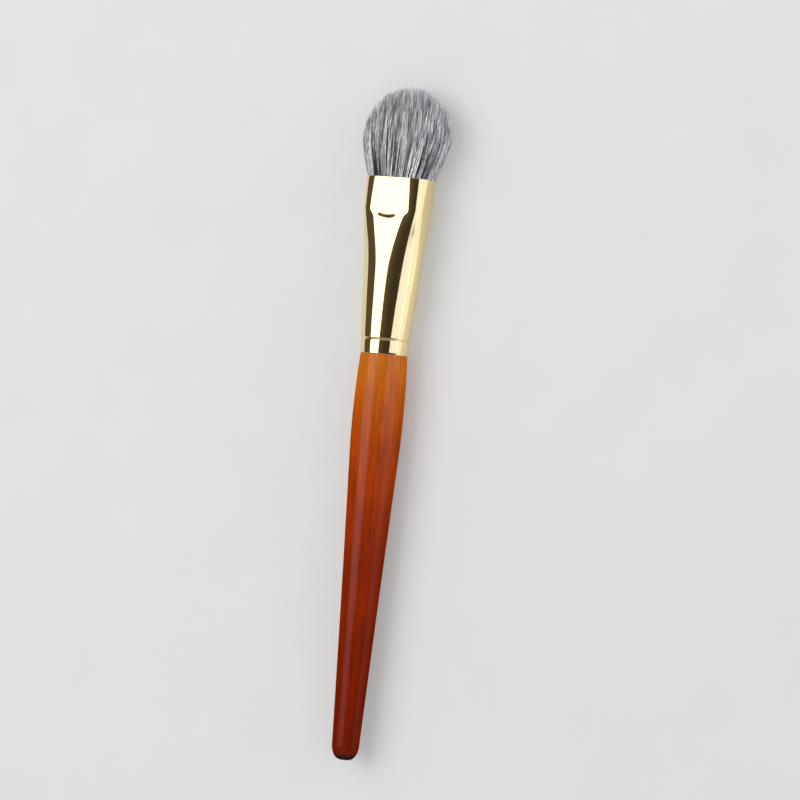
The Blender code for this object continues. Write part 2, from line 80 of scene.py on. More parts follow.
@dataclass(frozen=True)
class PressedForm:
    """The ferrule's form: a flared round tube whose mouth is pressed to a flat oval.

    Every piece inside the ferrule is made round first and then takes this form too. In its methods,
    x is a place along the brush, and across is a distance from the middle of a pressed face, along
    the wide side.
    """

    layout: Layout = Layout()
    foot_radius: float = 6.03 * MM
    belly_radius: float = 6.45 * MM
    belly_drop: float = 14.5 * MM
    mouth_half_wide: float = 8.5 * MM
    mouth_half_thin: float = 5.5 * MM
    cad_half_width: float = 11.65 * MM
    swell: float = 0.28 * MM
    round_exponent: float = 2.0
    mouth_exponent: float = 3.3
    press_suddenness: float = 3.0
    crease_exponent: float = 4.3
    corner_suddenness: float = 1.3
    crease_drop: float = 9.5 * MM
    crease_smile: float = 1.3 * MM
    crease_half_length: float = 5.5 * MM
    crease_width: float = 1.0 * MM
    crease_depth: float = 0.40 * MM
    crease_fade: float = 10.0 * MM
    dent_place: float = 1.25 * MM
    dent_reach: float = 2.1 * MM
    soft_share: float = 0.42

    def face_share(self, across: np.ndarray) -> np.ndarray:
        """How near a point is to a face's middle: 1 there, 0 past the crease's ends."""
        return np.clip(1 - (across / self.crease_half_length) ** 2, 0, 1)

    def crease_at(self, across: np.ndarray) -> np.ndarray:
        """Place along X of the crease, which sags like a smile on each face."""
        lowest = self.layout.mouth - self.crease_drop
        return lowest + self.crease_smile * (1 - self.face_share(across))

    def crease_step(self, across: np.ndarray) -> np.ndarray:
        """Length of the crease's step: short at its dent and longer beside it."""
        near = np.exp(-(((across - self.dent_place) / self.dent_reach) ** 2))
        return self.crease_width / (self.soft_share + (1 - self.soft_share) * near)

    def half_wide(self, x: np.ndarray) -> np.ndarray:
        """Half of the tube's width at each place along the brush.

        Args:
            x: place along the brush.

        Returns:
            The half width of each point.
        """
        share = (x - self.layout.foot) / self.layout.ferrule_length
        flare = (self.mouth_half_wide - self.foot_radius) * share
        return self.foot_radius + flare + self.swell * np.sin(np.pi * np.clip(share, 0, 1))

    def press_share(self, x: np.ndarray, across: np.ndarray) -> np.ndarray:
        """How far the tube is pressed flat.

        Args:
            x: place along the brush.
            across: distance from the middle of the face.

        Returns:
            The share of each point, from 0 up to the belly to 1 from the crease on.
        """
        belly = self.layout.foot + self.belly_drop
        rise = (x - belly) / (self.crease_at(across) - belly)
        return np.clip(rise, 0, 1) ** self.press_suddenness

    def half_thin(self, x: np.ndarray, press: np.ndarray) -> np.ndarray:
        """Half of the tube's thickness at each place along the brush.

        Args:
            x: place along the brush.
            press: how far the tube is pressed flat there.

        Returns:
            The half thickness of each point.
        """
        rise = np.clip((x - self.layout.foot) / self.belly_drop, 0, 1)
        unpressed = self.foot_radius + (self.belly_radius - self.foot_radius) * np.sin(rise * np.pi / 2)
        return unpressed + (self.mouth_half_thin - self.belly_radius) * press

    def crease_lift(self, x: np.ndarray, across: np.ndarray) -> np.ndarray:
        """How far the tube stands proud just below the crease.

        Args:
            x: place along the brush.
            across: distance from the middle of the face.

        Returns:
            The lift of each point.
        """
        below = self.crease_at(across) - x
        step = self.crease_step(across)
        ramp = np.clip((below + (step - self.crease_width) / 2) / step, 0, 1)
        ramp = ramp * ramp * (3 - 2 * ramp)
        fade = np.clip(1 - (below - self.crease_width) / self.crease_fade, 0, 1) ** 2
        return self.crease_depth * self.face_share(across) * ramp * fade

    def reach(self, x: np.ndarray, angle: np.ndarray) -> np.ndarray:
        """Distance from the axis to the tube's outer face.

        Args:
            x: place along the brush.
            angle: direction round the axis, with 0 on the thin side.

        Returns:
            The distance of each point.
        """
        wide = self.half_wide(x)
        across = wide * np.sin(angle)
        press = self.press_share(x, across)
        above = np.clip((x - self.crease_at(across)) / self.crease_drop, 0, 1)
        flattest = self.crease_exponent + (self.mouth_exponent - self.crease_exponent) * above
        exponent = self.round_exponent + (flattest - self.round_exponent) * press**self.corner_suddenness
        through = (np.abs(np.cos(angle)) / self.half_thin(x, press)) ** exponent
        sideways = (np.abs(np.sin(angle)) / wide) ** exponent
        return (through + sideways) ** (-1 / exponent) + self.crease_lift(x, across)

    def press(self, piece: bpy.types.Object) -> None:
        """Presses a round blank of the foot's radius into the ferrule's form, as the press does.

        Args:
            piece: the blank, whose origin is at the world's.
        """
        points = points_of(piece.data)
        up = points[:, 2] - self.layout.axis_height
        radius = np.hypot(points[:, 1], up)
        angle = np.arctan2(points[:, 1], up)
        follows = np.clip(radius / (self.foot_radius / 2), 0, 1)
        pressed = radius + (self.reach(points[:, 0], angle) - self.foot_radius) * follows
        points[:, 1] = pressed * np.sin(angle)
        points[:, 2] = pressed * np.cos(angle) + self.layout.axis_height
        piece.data.vertices.foreach_set("co", points.astype(np.float32).ravel())
        piece.data.update()


# Modelling by hand

def points_of(mesh: bpy.types.Mesh) -> np.ndarray:
    """The places of a mesh's vertices, one row each.

    Args:
        mesh: the mesh.

    Returns:
        The places, with a row for each vertex.
    """
    points = np.empty(len(mesh.vertices) * 3, np.float32)
    mesh.vertices.foreach_get("co", points)
    return points.reshape(-1, 3).astype(float)


def adjust(thing: object, **settings: object) -> None:
    """Sets some of a thing's own properties."""
    for name, value in settings.items():
        setattr(thing, name, value)


def leave_edit_mode() -> None:
    """Goes back to object mode, if a piece is being edited."""
    if bpy.context.mode != "OBJECT":
        bpy.ops.object.mode_set(mode="OBJECT")


def start_clean() -> None:
    """Leaves edit mode and deselects everything, so that an operator acts on the new piece alone."""
    leave_edit_mode()
    bpy.ops.object.select_all(action="DESELECT")


def edit_all() -> None:
    """Edits the active piece, with all of it selected."""
    bpy.ops.object.mode_set(mode="EDIT")
    bpy.ops.mesh.select_all(action="SELECT")


def face_outwards() -> None:
    """Turns all faces of the edited piece outwards."""
    bpy.ops.mesh.select_all(action="SELECT")
    bpy.ops.mesh.normals_make_consistent(inside=False)


def apply_modifier(kind: str, **settings: object) -> None:
    """Changes the active piece with a modifier.

    Args:
        kind: the modifier's type.
        settings: the modifier's properties.
    """
    leave_edit_mode()
    modifier = bpy.context.active_object.modifiers.new(kind.title(), kind)
    adjust(modifier, **settings)
    bpy.ops.object.modifier_apply(modifier=modifier.name)


def finish_piece(name: str, sharp_angle: float = SHARP_ANGLE) -> bpy.types.Object:
    """Names the active piece, puts its origin at the world's and shades it.

    Args:
        name: the piece's name.
        sharp_angle: edges that turn by more than this stay sharp.

    Returns:
        The finished piece.
    """
    leave_edit_mode()
    piece = bpy.context.active_object
    piece.name = name
    piece.data.name = name
    bpy.ops.object.transform_apply(location=True, rotation=True, scale=True)
    bpy.ops.object.shade_smooth_by_angle(angle=sharp_angle)
    return piece


def turn_outline(name: str, outline: Outline, sides: int, layout: Layout) -> bpy.types.Object:
    """Draws an outline point by point and spins it round the brush's axis, as on a lathe.

    Args:
        name: the piece's name.
        outline: pairs of place along X and radius.
        sides: how many steps the full turn has.
        layout: where the axis is.

    Returns:
        The turned piece.
    """
    start_clean()
    x, radius = outline[0]
    bpy.ops.mesh.primitive_plane_add(size=MM, location=(x, 0, layout.axis_height + radius))
    edit_all()
    bpy.ops.mesh.merge(type="CENTER")
    for following in outline[1:]:
        step = (following[0] - x, 0, following[1] - radius)
        bpy.ops.mesh.extrude_region_move(TRANSFORM_OT_translate={"value": step})
        x, radius = following
    bpy.ops.mesh.select_all(action="SELECT")
    centre = (0, 0, layout.axis_height)
    bpy.ops.mesh.spin(steps=sides, angle=math.tau, center=centre, axis=(1, 0, 0))
    bpy.ops.mesh.select_all(action="SELECT")
    bpy.ops.mesh.remove_doubles(threshold=MERGE_DISTANCE)
    face_outwards()
    return finish_piece(name)


def blend_points(start: tuple, end: tuple, share: float) -> tuple:
    """The point at a share of the way from one point to another."""
    return tuple(a + (b - a) * share for a, b in zip(start, end))


def soften_corners(corners: Outline, reaches: list[float], steps: int) -> Outline:
    """Rounds each inner corner of a line.

    Args:
        corners: the line's corners.
        reaches: how far each inner corner's rounding reaches to both sides.
        steps: how many parts each rounding has.

    Returns:
        The rounded line.
    """
    line = [corners[0]]
    for before, corner, after, reach in zip(corners, corners[1:], corners[2:], reaches):
        start = blend_points(corner, before, reach / math.dist(corner, before))
        end = blend_points(corner, after, reach / math.dist(corner, after))
        for step in range(steps + 1):
            share = step / steps
            inward = blend_points(start, corner, share)
            outward = blend_points(corner, end, share)
            line.append(blend_points(inward, outward, share))
    return line + [corners[-1]]


def spaced(start: float, end: float, step: float) -> list[float]:
    """Even stations from one place to another, about a step apart, without the last."""
    count = max(1, round(abs(end - start) / step))
    return [start + (end - start) * number / count for number in range(count)]


def paint(piece: bpy.types.Object, material: bpy.types.Material) -> None:
    """Gives a piece one material in place of any that it has."""
    piece.data.materials.clear()
    piece.data.materials.append(material)


def settle(piece: bpy.types.Object, material: bpy.types.Material, node: str) -> None:
    """Gives a piece its material and its body, and hides the CAD node that it stands for.

    Args:
        piece: the finished piece.
        material: its finish.
        node: the CAD node that it replaces, alone or with others.
    """
    paint(piece, material)
    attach(piece, BODY)
    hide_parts(node)
    LOG.info("%s: %d faces, stands for %s", piece.name, len(piece.data.polygons), node)


# Node trees

UNIT = (0.0, 1.0)
FALLING = (1.0, 0.0)
NOISE_SPREAD = (0.3, 0.7)


class NodeSheet:
    """A node tree, with short ways to add a node and join its sockets."""

    def __init__(self, tree: bpy.types.NodeTree) -> None:
        """Keeps the tree that the nodes go into."""
        self.tree = tree

    def feed(self, node: bpy.types.Node, joins: dict) -> None:
        """Feeds a node's inputs.

        Args:
            node: the node.
            joins: for each input, by name or number, a value or the socket that feeds it.
        """
        for key, value in joins.items():
            socket = node.inputs[key]
            if isinstance(value, bpy.types.NodeSocket):
                self.tree.links.new(value, socket)
            else:
                socket.default_value = opaque(value) if socket.type == "RGBA" else value

    def add(self, kind: str, joins: dict | None = None, **settings: object) -> bpy.types.Node:
        """Adds a node.

        Args:
            kind: the node's type without its prefix, such as TexNoise.
            joins: for each input, by name or number, a value or the socket that feeds it.
            settings: the node's own properties.

        Returns:
            The new node.
        """
        node = self.tree.nodes.new(f"ShaderNode{kind}")
        adjust(node, **settings)
        self.feed(node, joins or {})
        return node

    def reckon(self, operation: str, *values: object) -> bpy.types.NodeSocket:
        """The result of a Math node on values or sockets."""
        return self.add("Math", dict(enumerate(values)), operation=operation).outputs[0]

    def chain(self, operation: str, *values: object) -> bpy.types.NodeSocket:
        """The result of one operation on the first two values, then on that and the third, and so on."""
        return reduce(lambda first, second: self.reckon(operation, first, second), values)

    def plus(self, base: object, addition: object, share: float) -> bpy.types.NodeSocket:
        """A value plus a share of another."""
        return self.reckon("MULTIPLY_ADD", addition, share, base)

    def mix(self, share: object, first: object, second: object, how: str = "MIX") -> bpy.types.NodeSocket:
        """Mixes two colours.

        Args:
            share: how much of the second colour there is.
            first: a colour or the socket that gives it.
            second: a colour or the socket that gives it.
            how: the way that they blend.

        Returns:
            The mixed colour.
        """
        return self.add("Mix", {0: share, 6: first, 7: second}, data_type="RGBA", blend_type=how).outputs[2]

    def shade(self, colour: object, light: bpy.types.NodeSocket) -> bpy.types.NodeSocket:
        """A colour made lighter or darker by a factor."""
        grey = self.add("CombineXYZ", {0: light, 1: light, 2: light}).outputs[0]
        return self.mix(1.0, colour, grey, "MULTIPLY")

    def remap(self, value: object, start: Range, end: Range, smooth: bool = False) -> bpy.types.NodeSocket:
        """Moves a value from one range to another, and holds it there.

        Args:
            value: the socket to read.
            start: the two ends of its own range.
            end: the two ends of the new range.
            smooth: whether it starts and ends gently.

        Returns:
            The moved value.
        """
        kind = "SMOOTHSTEP" if smooth else "LINEAR"
        joins = {0: value, 1: start[0], 2: start[1], 3: end[0], 4: end[1]}
        return self.add("MapRange", joins, interpolation_type=kind).outputs[0]

    def ramp(self, value: bpy.types.NodeSocket, stops: tuple) -> bpy.types.NodeSocket:
        """Turns a value into a colour.

        Args:
            value: the socket to read.
            stops: pairs of a value and its colour.

        Returns:
            The colour.
        """
        node = self.add("ValToRGB", {0: value})
        elements = node.color_ramp.elements
        while len(elements) < len(stops):
            elements.new(1)
        for element, (place, colour) in zip(elements, stops):
            element.position = place
            element.color = opaque(colour)
        return node.outputs[0]

    def noise(self, vector: bpy.types.NodeSocket, scale: float, detail: float = 2.0) -> bpy.types.NodeSocket:
        """Plain noise on a vector, from 0 to 1."""
        return self.add("TexNoise", {"Vector": vector, "Scale": scale, "Detail": detail}).outputs[0]

    def stretched(self, vector: bpy.types.NodeSocket, scale: Triple) -> bpy.types.NodeSocket:
        """A vector with its three directions scaled."""
        return self.add("Mapping", {"Vector": vector, "Scale": scale}).outputs[0]

    def bump(self, strength: float, depth: float, height: bpy.types.NodeSocket) -> bpy.types.NodeSocket:
        """The normal of a surface that a height makes uneven."""
        return self.add("Bump", {"Strength": strength, "Distance": depth, "Height": height}).outputs[0]


def opaque(colour: Colour) -> tuple[float, float, float, float]:
    """A plain colour with its alpha."""
    return (*colour, 1.0)


class Effect(Enum):
    """Effects that more than one material uses, each a node group."""

    FIBRES = "Long fibres"
    WEAR = "Fine wear"
    STRAND = "Strand shade"


@dataclass
class EffectShelf:
    """Builds each effect's node group once and hands it out."""

    built: dict[Effect, bpy.types.NodeTree] = field(default_factory=dict)
    broad_share: float = 0.45
    pore_band: Range = (0.64, 0.74)
    hairline_stretch: Triple = (0.12, 2.4, 2.4)
    ring_stretch: Triple = (3.0, 0.16, 0.16)
    wave_stretch: Triple = (0.5, 1.0, 1.0)
    line_band: Range = (0.56, 0.78)
    line_light: Range = (0.0, 0.6)
    smudge_band: Range = (0.4, 0.75)
    smudge_light: Range = (0.0, 0.5)
    tip_band: Range = (0.3, 1.0)
    strand_roughness: Range = (0.38, 0.6)

    def place(self, sheet: NodeSheet, effect: Effect, joins: dict) -> bpy.types.bpy_prop_collection:
        """Places an effect in a material.

        Args:
            sheet: the material's nodes.
            effect: which effect.
            joins: values or sockets for the group's inputs.

        Returns:
            The group's outputs.
        """
        if effect not in self.built:
            makers = {Effect.FIBRES: self.fibres, Effect.WEAR: self.wear, Effect.STRAND: self.strand}
            self.built[effect] = makers[effect]()
        return sheet.add("Group", joins, node_tree=self.built[effect]).outputs

    @staticmethod
    def group(effect: Effect, inputs: dict[str, str], outputs: dict[str, str]) -> tuple:
        """An empty node group with its sockets.

        Args:
            effect: the effect, whose value names the group.
            inputs: names and kinds of the inputs.
            outputs: names and kinds of the outputs.

        Returns:
            The sheet, the sockets that bring the inputs, and the node that takes the outputs.
        """
        tree = bpy.data.node_groups.new(effect.value, "ShaderNodeTree")
        for direction, sockets in (("INPUT", inputs), ("OUTPUT", outputs)):
            for name, kind in sockets.items():
                tree.interface.new_socket(name, in_out=direction, socket_type=f"NodeSocket{kind}")
        source = tree.nodes.new("NodeGroupInput").outputs
        return NodeSheet(tree), source, tree.nodes.new("NodeGroupOutput")

    def fibres(self) -> bpy.types.NodeTree:
        """Long thin fibres along X, for wood grain and for glued hair.

        Returns:
            The group's tree.
        """
        inputs = {"Vector": "Vector", "Across": "Float", "Along": "Float"}
        sheet, source, result = self.group(Effect.FIBRES, inputs, {"Fibres": "Float", "Pores": "Float"})
        sides = {0: source["Along"], 1: source["Across"], 2: source["Across"]}
        scale = sheet.add("CombineXYZ", sides).outputs[0]
        joins = {0: source["Vector"], 1: scale}
        lengthened = sheet.add("VectorMath", joins, operation="MULTIPLY").outputs[0]
        broad = sheet.reckon("MULTIPLY", sheet.noise(lengthened, scale=0.35, detail=3.0), self.broad_share)
        fibres = sheet.plus(broad, sheet.noise(lengthened, scale=1.0, detail=4.0), 1 - self.broad_share)
        pores = sheet.remap(sheet.noise(lengthened, scale=1.9, detail=1.0), self.pore_band, UNIT)
        sheet.feed(result, {"Fibres": fibres, "Pores": pores})
        return sheet.tree

    def wear(self) -> bpy.types.NodeTree:
        """Fine rubbing marks and a faint waviness, for polished metal and for lacquer.

        Returns:
            The group's tree.
        """
        inputs = {"Vector": "Vector", "Fineness": "Float"}
        sheet, source, result = self.group(Effect.WEAR, inputs, {"Rubbed": "Float", "Waves": "Float"})
        joins = {0: source["Vector"], "Scale": source["Fineness"]}
        scaled = sheet.add("VectorMath", joins, operation="SCALE").outputs[0]
        hairlines = sheet.noise(sheet.stretched(scaled, self.hairline_stretch), scale=2.2, detail=3.0)
        rings = sheet.noise(sheet.stretched(scaled, self.ring_stretch), scale=2.0, detail=2.0)
        lines = sheet.remap(sheet.reckon("MAXIMUM", hairlines, rings), self.line_band, self.line_light)
        smudged = sheet.noise(scaled, scale=0.35, detail=3.0)
        smudges = sheet.remap(smudged, self.smudge_band, self.smudge_light)
        waves = sheet.noise(sheet.stretched(scaled, self.wave_stretch), scale=0.28, detail=1.0)
        sheet.feed(result, {"Rubbed": sheet.reckon("ADD", lines, smudges), "Waves": waves})
        return sheet.tree

    def strand(self) -> bpy.types.NodeTree:
        """The shade of one hair, from its own tone and from how far along it a point is.

        Returns:
            The group's tree.
        """
        inputs = {"Root": "Color", "Tip": "Color", "Contrast": "Float"}
        outputs = {"Colour": "Color", "Roughness": "Float"}
        sheet, source, result = self.group(Effect.STRAND, inputs, outputs)
        tone = sheet.add("Attribute", attribute_name="tone").outputs["Fac"]
        along = sheet.add("Attribute", attribute_name="along").outputs["Fac"]
        toward_tip = sheet.remap(along, self.tip_band, UNIT, True)
        colour = sheet.mix(toward_tip, source["Root"], source["Tip"])
        light = sheet.reckon("MULTIPLY_ADD", sheet.reckon("SUBTRACT", tone, 0.5), source["Contrast"], 1.0)
        roughness = sheet.remap(tone, UNIT, self.strand_roughness)
        sheet.feed(result, {"Colour": sheet.shade(colour, light), "Roughness": roughness})
        return sheet.tree


EFFECTS = EffectShelf()


def new_material(name: str) -> tuple[bpy.types.Material, NodeSheet, bpy.types.Node, bpy.types.NodeSocket]:
    """A material with its Principled shader, and object coordinates in millimetres.

    Args:
        name: the finish's plain name.

    Returns:
        The material, its nodes, its shader and the coordinates.
    """
    material = bpy.data.materials.new(name)
    material.use_nodes = True
    sheet = NodeSheet(material.node_tree)
    place = sheet.add("TexCoord").outputs["Object"]
    millimetres = sheet.stretched(place, (1 / MM, 1 / MM, 1 / MM))
    return material, sheet, material.node_tree.nodes["Principled BSDF"], millimetres


# Finishes

@dataclass(frozen=True)
class PolishedGold:
    """Gold plate on polished brass, with faint drawing lines, rub marks and an uneven sheen."""

    plate: Colour = (0.94, 0.78, 0.44)
    thin_plate: Colour = (0.90, 0.68, 0.30)
    thin_band: Range = (0.2, 1.0)
    thin_share: Range = (0.0, 0.5)
    roughness: Range = (0.05, 0.14)
    rub_depth: float = 0.004
    bump_strength: float = 0.25
    bump_depth: float = 0.05 * MM

    def material(self) -> bpy.types.Material:
        """Builds the finish.

        Returns:
            The material.
        """
        material, sheet, shader, place = new_material("polished_gold")
        wear = EFFECTS.place(sheet, Effect.WEAR, {"Vector": place, "Fineness": 1.0})
        thin = sheet.remap(wear["Rubbed"], self.thin_band, self.thin_share)
        height = sheet.plus(wear["Waves"], wear["Rubbed"], self.rub_depth)
        joins = {
            "Base Color": sheet.mix(thin, self.plate, self.thin_plate),
            "Roughness": sheet.remap(wear["Rubbed"], UNIT, self.roughness),
            "Normal": sheet.bump(self.bump_strength, self.bump_depth, height),
            "Metallic": 1.0,
        }
        sheet.feed(shader, joins)
        return material


@dataclass(frozen=True)
class LacqueredWood:
    """Reddish brown wood under satin lacquer: orange at the ferrule, mahogany at the butt, its darkening
    towards the butt partly stain and partly painted shade, with painted shade at the very end of the butt.

    Places and lengths along the handle are in millimetres.
    """

    butt_x: float = -85.0
    foot_x: float = 17.5
    # Colour from the butt to the ferrule's foot: partly the wood's stain, partly painted shade that darkens
    # it towards the butt.
    stain_and_shade: tuple = (
        (0.00, (0.162, 0.0110, 0.0008)),
        (0.20, (0.203, 0.0130, 0.0009)),
        (0.49, (0.257, 0.0200, 0.0011)),
        (0.64, (0.332, 0.0330, 0.0014)),
        (0.79, (0.412, 0.0570, 0.0022)),
        (0.89, (0.515, 0.1000, 0.0035)),
        (1.00, (0.620, 0.1640, 0.0110)),
    )
    grain: tuple = (2.6, 0.16)
    grain_band: Range = (0.36, 0.64)
    grain_light: Range = (0.80, 1.16)
    fleck_stretch: Triple = (2.2, 1.5, 1.5)
    fleck_light: Range = (0.88, 1.12)
    cloud_stretch: Triple = (0.10, 0.35, 0.35)
    cloud_light: Range = (0.86, 1.14)
    pore_light: Range = (1.0, 0.72)
    pore_depth: float = -0.6
    bump_strength: float = 0.18
    bump_depth: float = 0.04 * MM
    bare_roughness: Range = (0.42, 0.55)
    rubbed_roughness: float = 0.08
    wear_fineness: float = 0.6
    lacquer: float = 0.60
    lacquer_band: Range = (0.12, 0.50)
    clouded_lacquer: Range = (1.0, 0.82)
    worn_lacquer: Range = (0.5, 1.0)
    worn_length: float = 30.0
    lacquer_roughness: float = 0.18
    # Painted shade: the last millimetres of the butt's dome are darkened almost to black.
    butt_shade_colour: Colour = (0.016, 0.010, 0.014)
    butt_shade_band: Range = (0.9, 2.4)
    butt_shade_unevenness: float = 0.5

    def material(self) -> bpy.types.Material:
        """Builds the finish.

        Returns:
            The material.
        """
        material, sheet, shader, place = new_material("lacquered_wood")
        joins = {"Vector": place, "Across": self.grain[0], "Along": self.grain[1]}
        grain = EFFECTS.place(sheet, Effect.FIBRES, joins)
        wear = EFFECTS.place(sheet, Effect.WEAR, {"Vector": place, "Fineness": self.wear_fineness})
        along = sheet.add("SeparateXYZ", {0: place}).outputs[0]
        flecks = sheet.noise(sheet.stretched(place, self.fleck_stretch), scale=1.0, detail=3.0)
        clouds = sheet.noise(sheet.stretched(place, self.cloud_stretch), scale=1.0, detail=2.0)
        light = sheet.chain(
            "MULTIPLY",
            sheet.remap(grain["Fibres"], self.grain_band, self.grain_light),
            sheet.remap(flecks, NOISE_SPREAD, self.fleck_light),
            sheet.remap(clouds, NOISE_SPREAD, self.cloud_light),
            sheet.remap(grain["Pores"], UNIT, self.pore_light),
        )
        # Stain ramp with painted shade, darker towards the butt.
        stain_and_shade = sheet.ramp(sheet.remap(along, (self.butt_x, self.foot_x), UNIT), self.stain_and_shade)
        # Painted shade over the butt's end, its edge made uneven by the flecks.
        butt_shade_span = tuple(self.butt_x + length for length in self.butt_shade_band)
        butt_shade = sheet.remap(sheet.plus(along, flecks, self.butt_shade_unevenness), butt_shade_span, FALLING, True)
        bare = sheet.remap(flecks, NOISE_SPREAD, self.bare_roughness)
        facing = sheet.add("LayerWeight", {0: 0.5}).outputs["Facing"]
        worn = (self.butt_x + self.worn_length, self.foot_x)
        gloss = sheet.chain(
            "MULTIPLY",
            sheet.remap(facing, self.lacquer_band, (self.lacquer, 0.0)),
            sheet.remap(clouds, NOISE_SPREAD, self.clouded_lacquer),
            sheet.remap(along, worn, self.worn_lacquer),
        )
        height = sheet.plus(grain["Fibres"], grain["Pores"], self.pore_depth)
        joins = {
            # Base colour: the stain ramp with its painted shade, and painted shade over the butt's end.
            "Base Color": sheet.mix(butt_shade, sheet.shade(stain_and_shade, light), self.butt_shade_colour),
            "Roughness": sheet.plus(bare, wear["Rubbed"], self.rubbed_roughness),
            "Normal": sheet.bump(self.bump_strength, self.bump_depth, height),
            "Coat Weight": gloss,
            "Coat Roughness": self.lacquer_roughness,
            "Specular IOR Level": 0.0,
        }
        sheet.feed(shader, joins)
        return material


@dataclass(frozen=True)
class HairFinish:
    """One tone of the mixed hair, from its root to its tip."""

    name: str
    root: Colour
    tip: Colour
    contrast: float
    sheen: float = 0.35
    sheen_roughness: float = 0.4
    dash_stretch: Triple = (0.55, 4.0, 4.0)
    dash_band: Range = (0.32, 0.68)
    dash_light: Range = (0.58, 1.42)

    def material(self) -> bpy.types.Material:
        """Builds the finish.

        Returns:
            The material.
        """
        material, sheet, shader, place = new_material(self.name)
        joins = {"Root": self.root, "Tip": self.tip, "Contrast": self.contrast}
        strand = EFFECTS.place(sheet, Effect.STRAND, joins)
        dashes = sheet.noise(sheet.stretched(place, self.dash_stretch), scale=1.0, detail=1.0)
        joins = {
            "Base Color": sheet.shade(strand["Colour"], sheet.remap(dashes, self.dash_band, self.dash_light)),
            "Roughness": strand["Roughness"],
            "Sheen Weight": self.sheen,
            "Sheen Roughness": self.sheen_roughness,
        }
        sheet.feed(shader, joins)
        return material


@dataclass(frozen=True)
class SetGlue:
    """Hardened glue, clear or filled with the roots of the hair."""

    name: str
    colour: Colour
    deep_colour: Colour
    roughness: float
    fibres: tuple = (4.0, 0.3)
    fibre_band: Range = (0.35, 0.65)
    wear_fineness: float = 1.5
    rubbed_roughness: float = 0.2
    bump_strength: float = 0.3
    bump_depth: float = 0.1 * MM

    def material(self) -> bpy.types.Material:
        """Builds the finish.

        Returns:
            The material.
        """
        material, sheet, shader, place = new_material(self.name)
        joins = {"Vector": place, "Across": self.fibres[0], "Along": self.fibres[1]}
        fibres = EFFECTS.place(sheet, Effect.FIBRES, joins)["Fibres"]
        wear = EFFECTS.place(sheet, Effect.WEAR, {"Vector": place, "Fineness": self.wear_fineness})
        share = sheet.remap(fibres, self.fibre_band, UNIT)
        joins = {
            "Base Color": sheet.mix(share, self.deep_colour, self.colour),
            "Roughness": sheet.plus(self.roughness, wear["Rubbed"], self.rubbed_roughness),
            "Normal": sheet.bump(self.bump_strength, self.bump_depth, fibres),
        }
        sheet.feed(shader, joins)
        return material


@dataclass(frozen=True)
class TwistedThread:
    """Cotton thread with its twist showing as slanted plies, and painted shade in the grooves between them.
    """

    colour: Colour = (0.78, 0.74, 0.66)
    # Painted shade: the dark colour of the grooves between the plies.
    groove: Colour = (0.42, 0.38, 0.32)
    ply_scale: float = 1.4
    ply_distortion: float = 0.6
    roughness: Range = (0.95, 0.8)
    bump_strength: float = 0.6
    bump_depth: float = 0.1 * MM

    def material(self) -> bpy.types.Material:
        """Builds the finish.

        Returns:
            The material.
        """
        material, sheet, shader, place = new_material("twisted_thread")
        joins = {"Vector": place, "Scale": self.ply_scale, "Distortion": self.ply_distortion}
        plies = sheet.add("TexWave", joins, bands_direction="DIAGONAL").outputs["Fac"]
        joins = {
            # Painted shade in the grooves, where the plies' height is lowest.
            "Base Color": sheet.mix(plies, self.groove, self.colour),
            "Roughness": sheet.remap(plies, UNIT, self.roughness),
            "Normal": sheet.bump(self.bump_strength, self.bump_depth, plies),
        }
        sheet.feed(shader, joins)
        return material


# Sub-assemblies

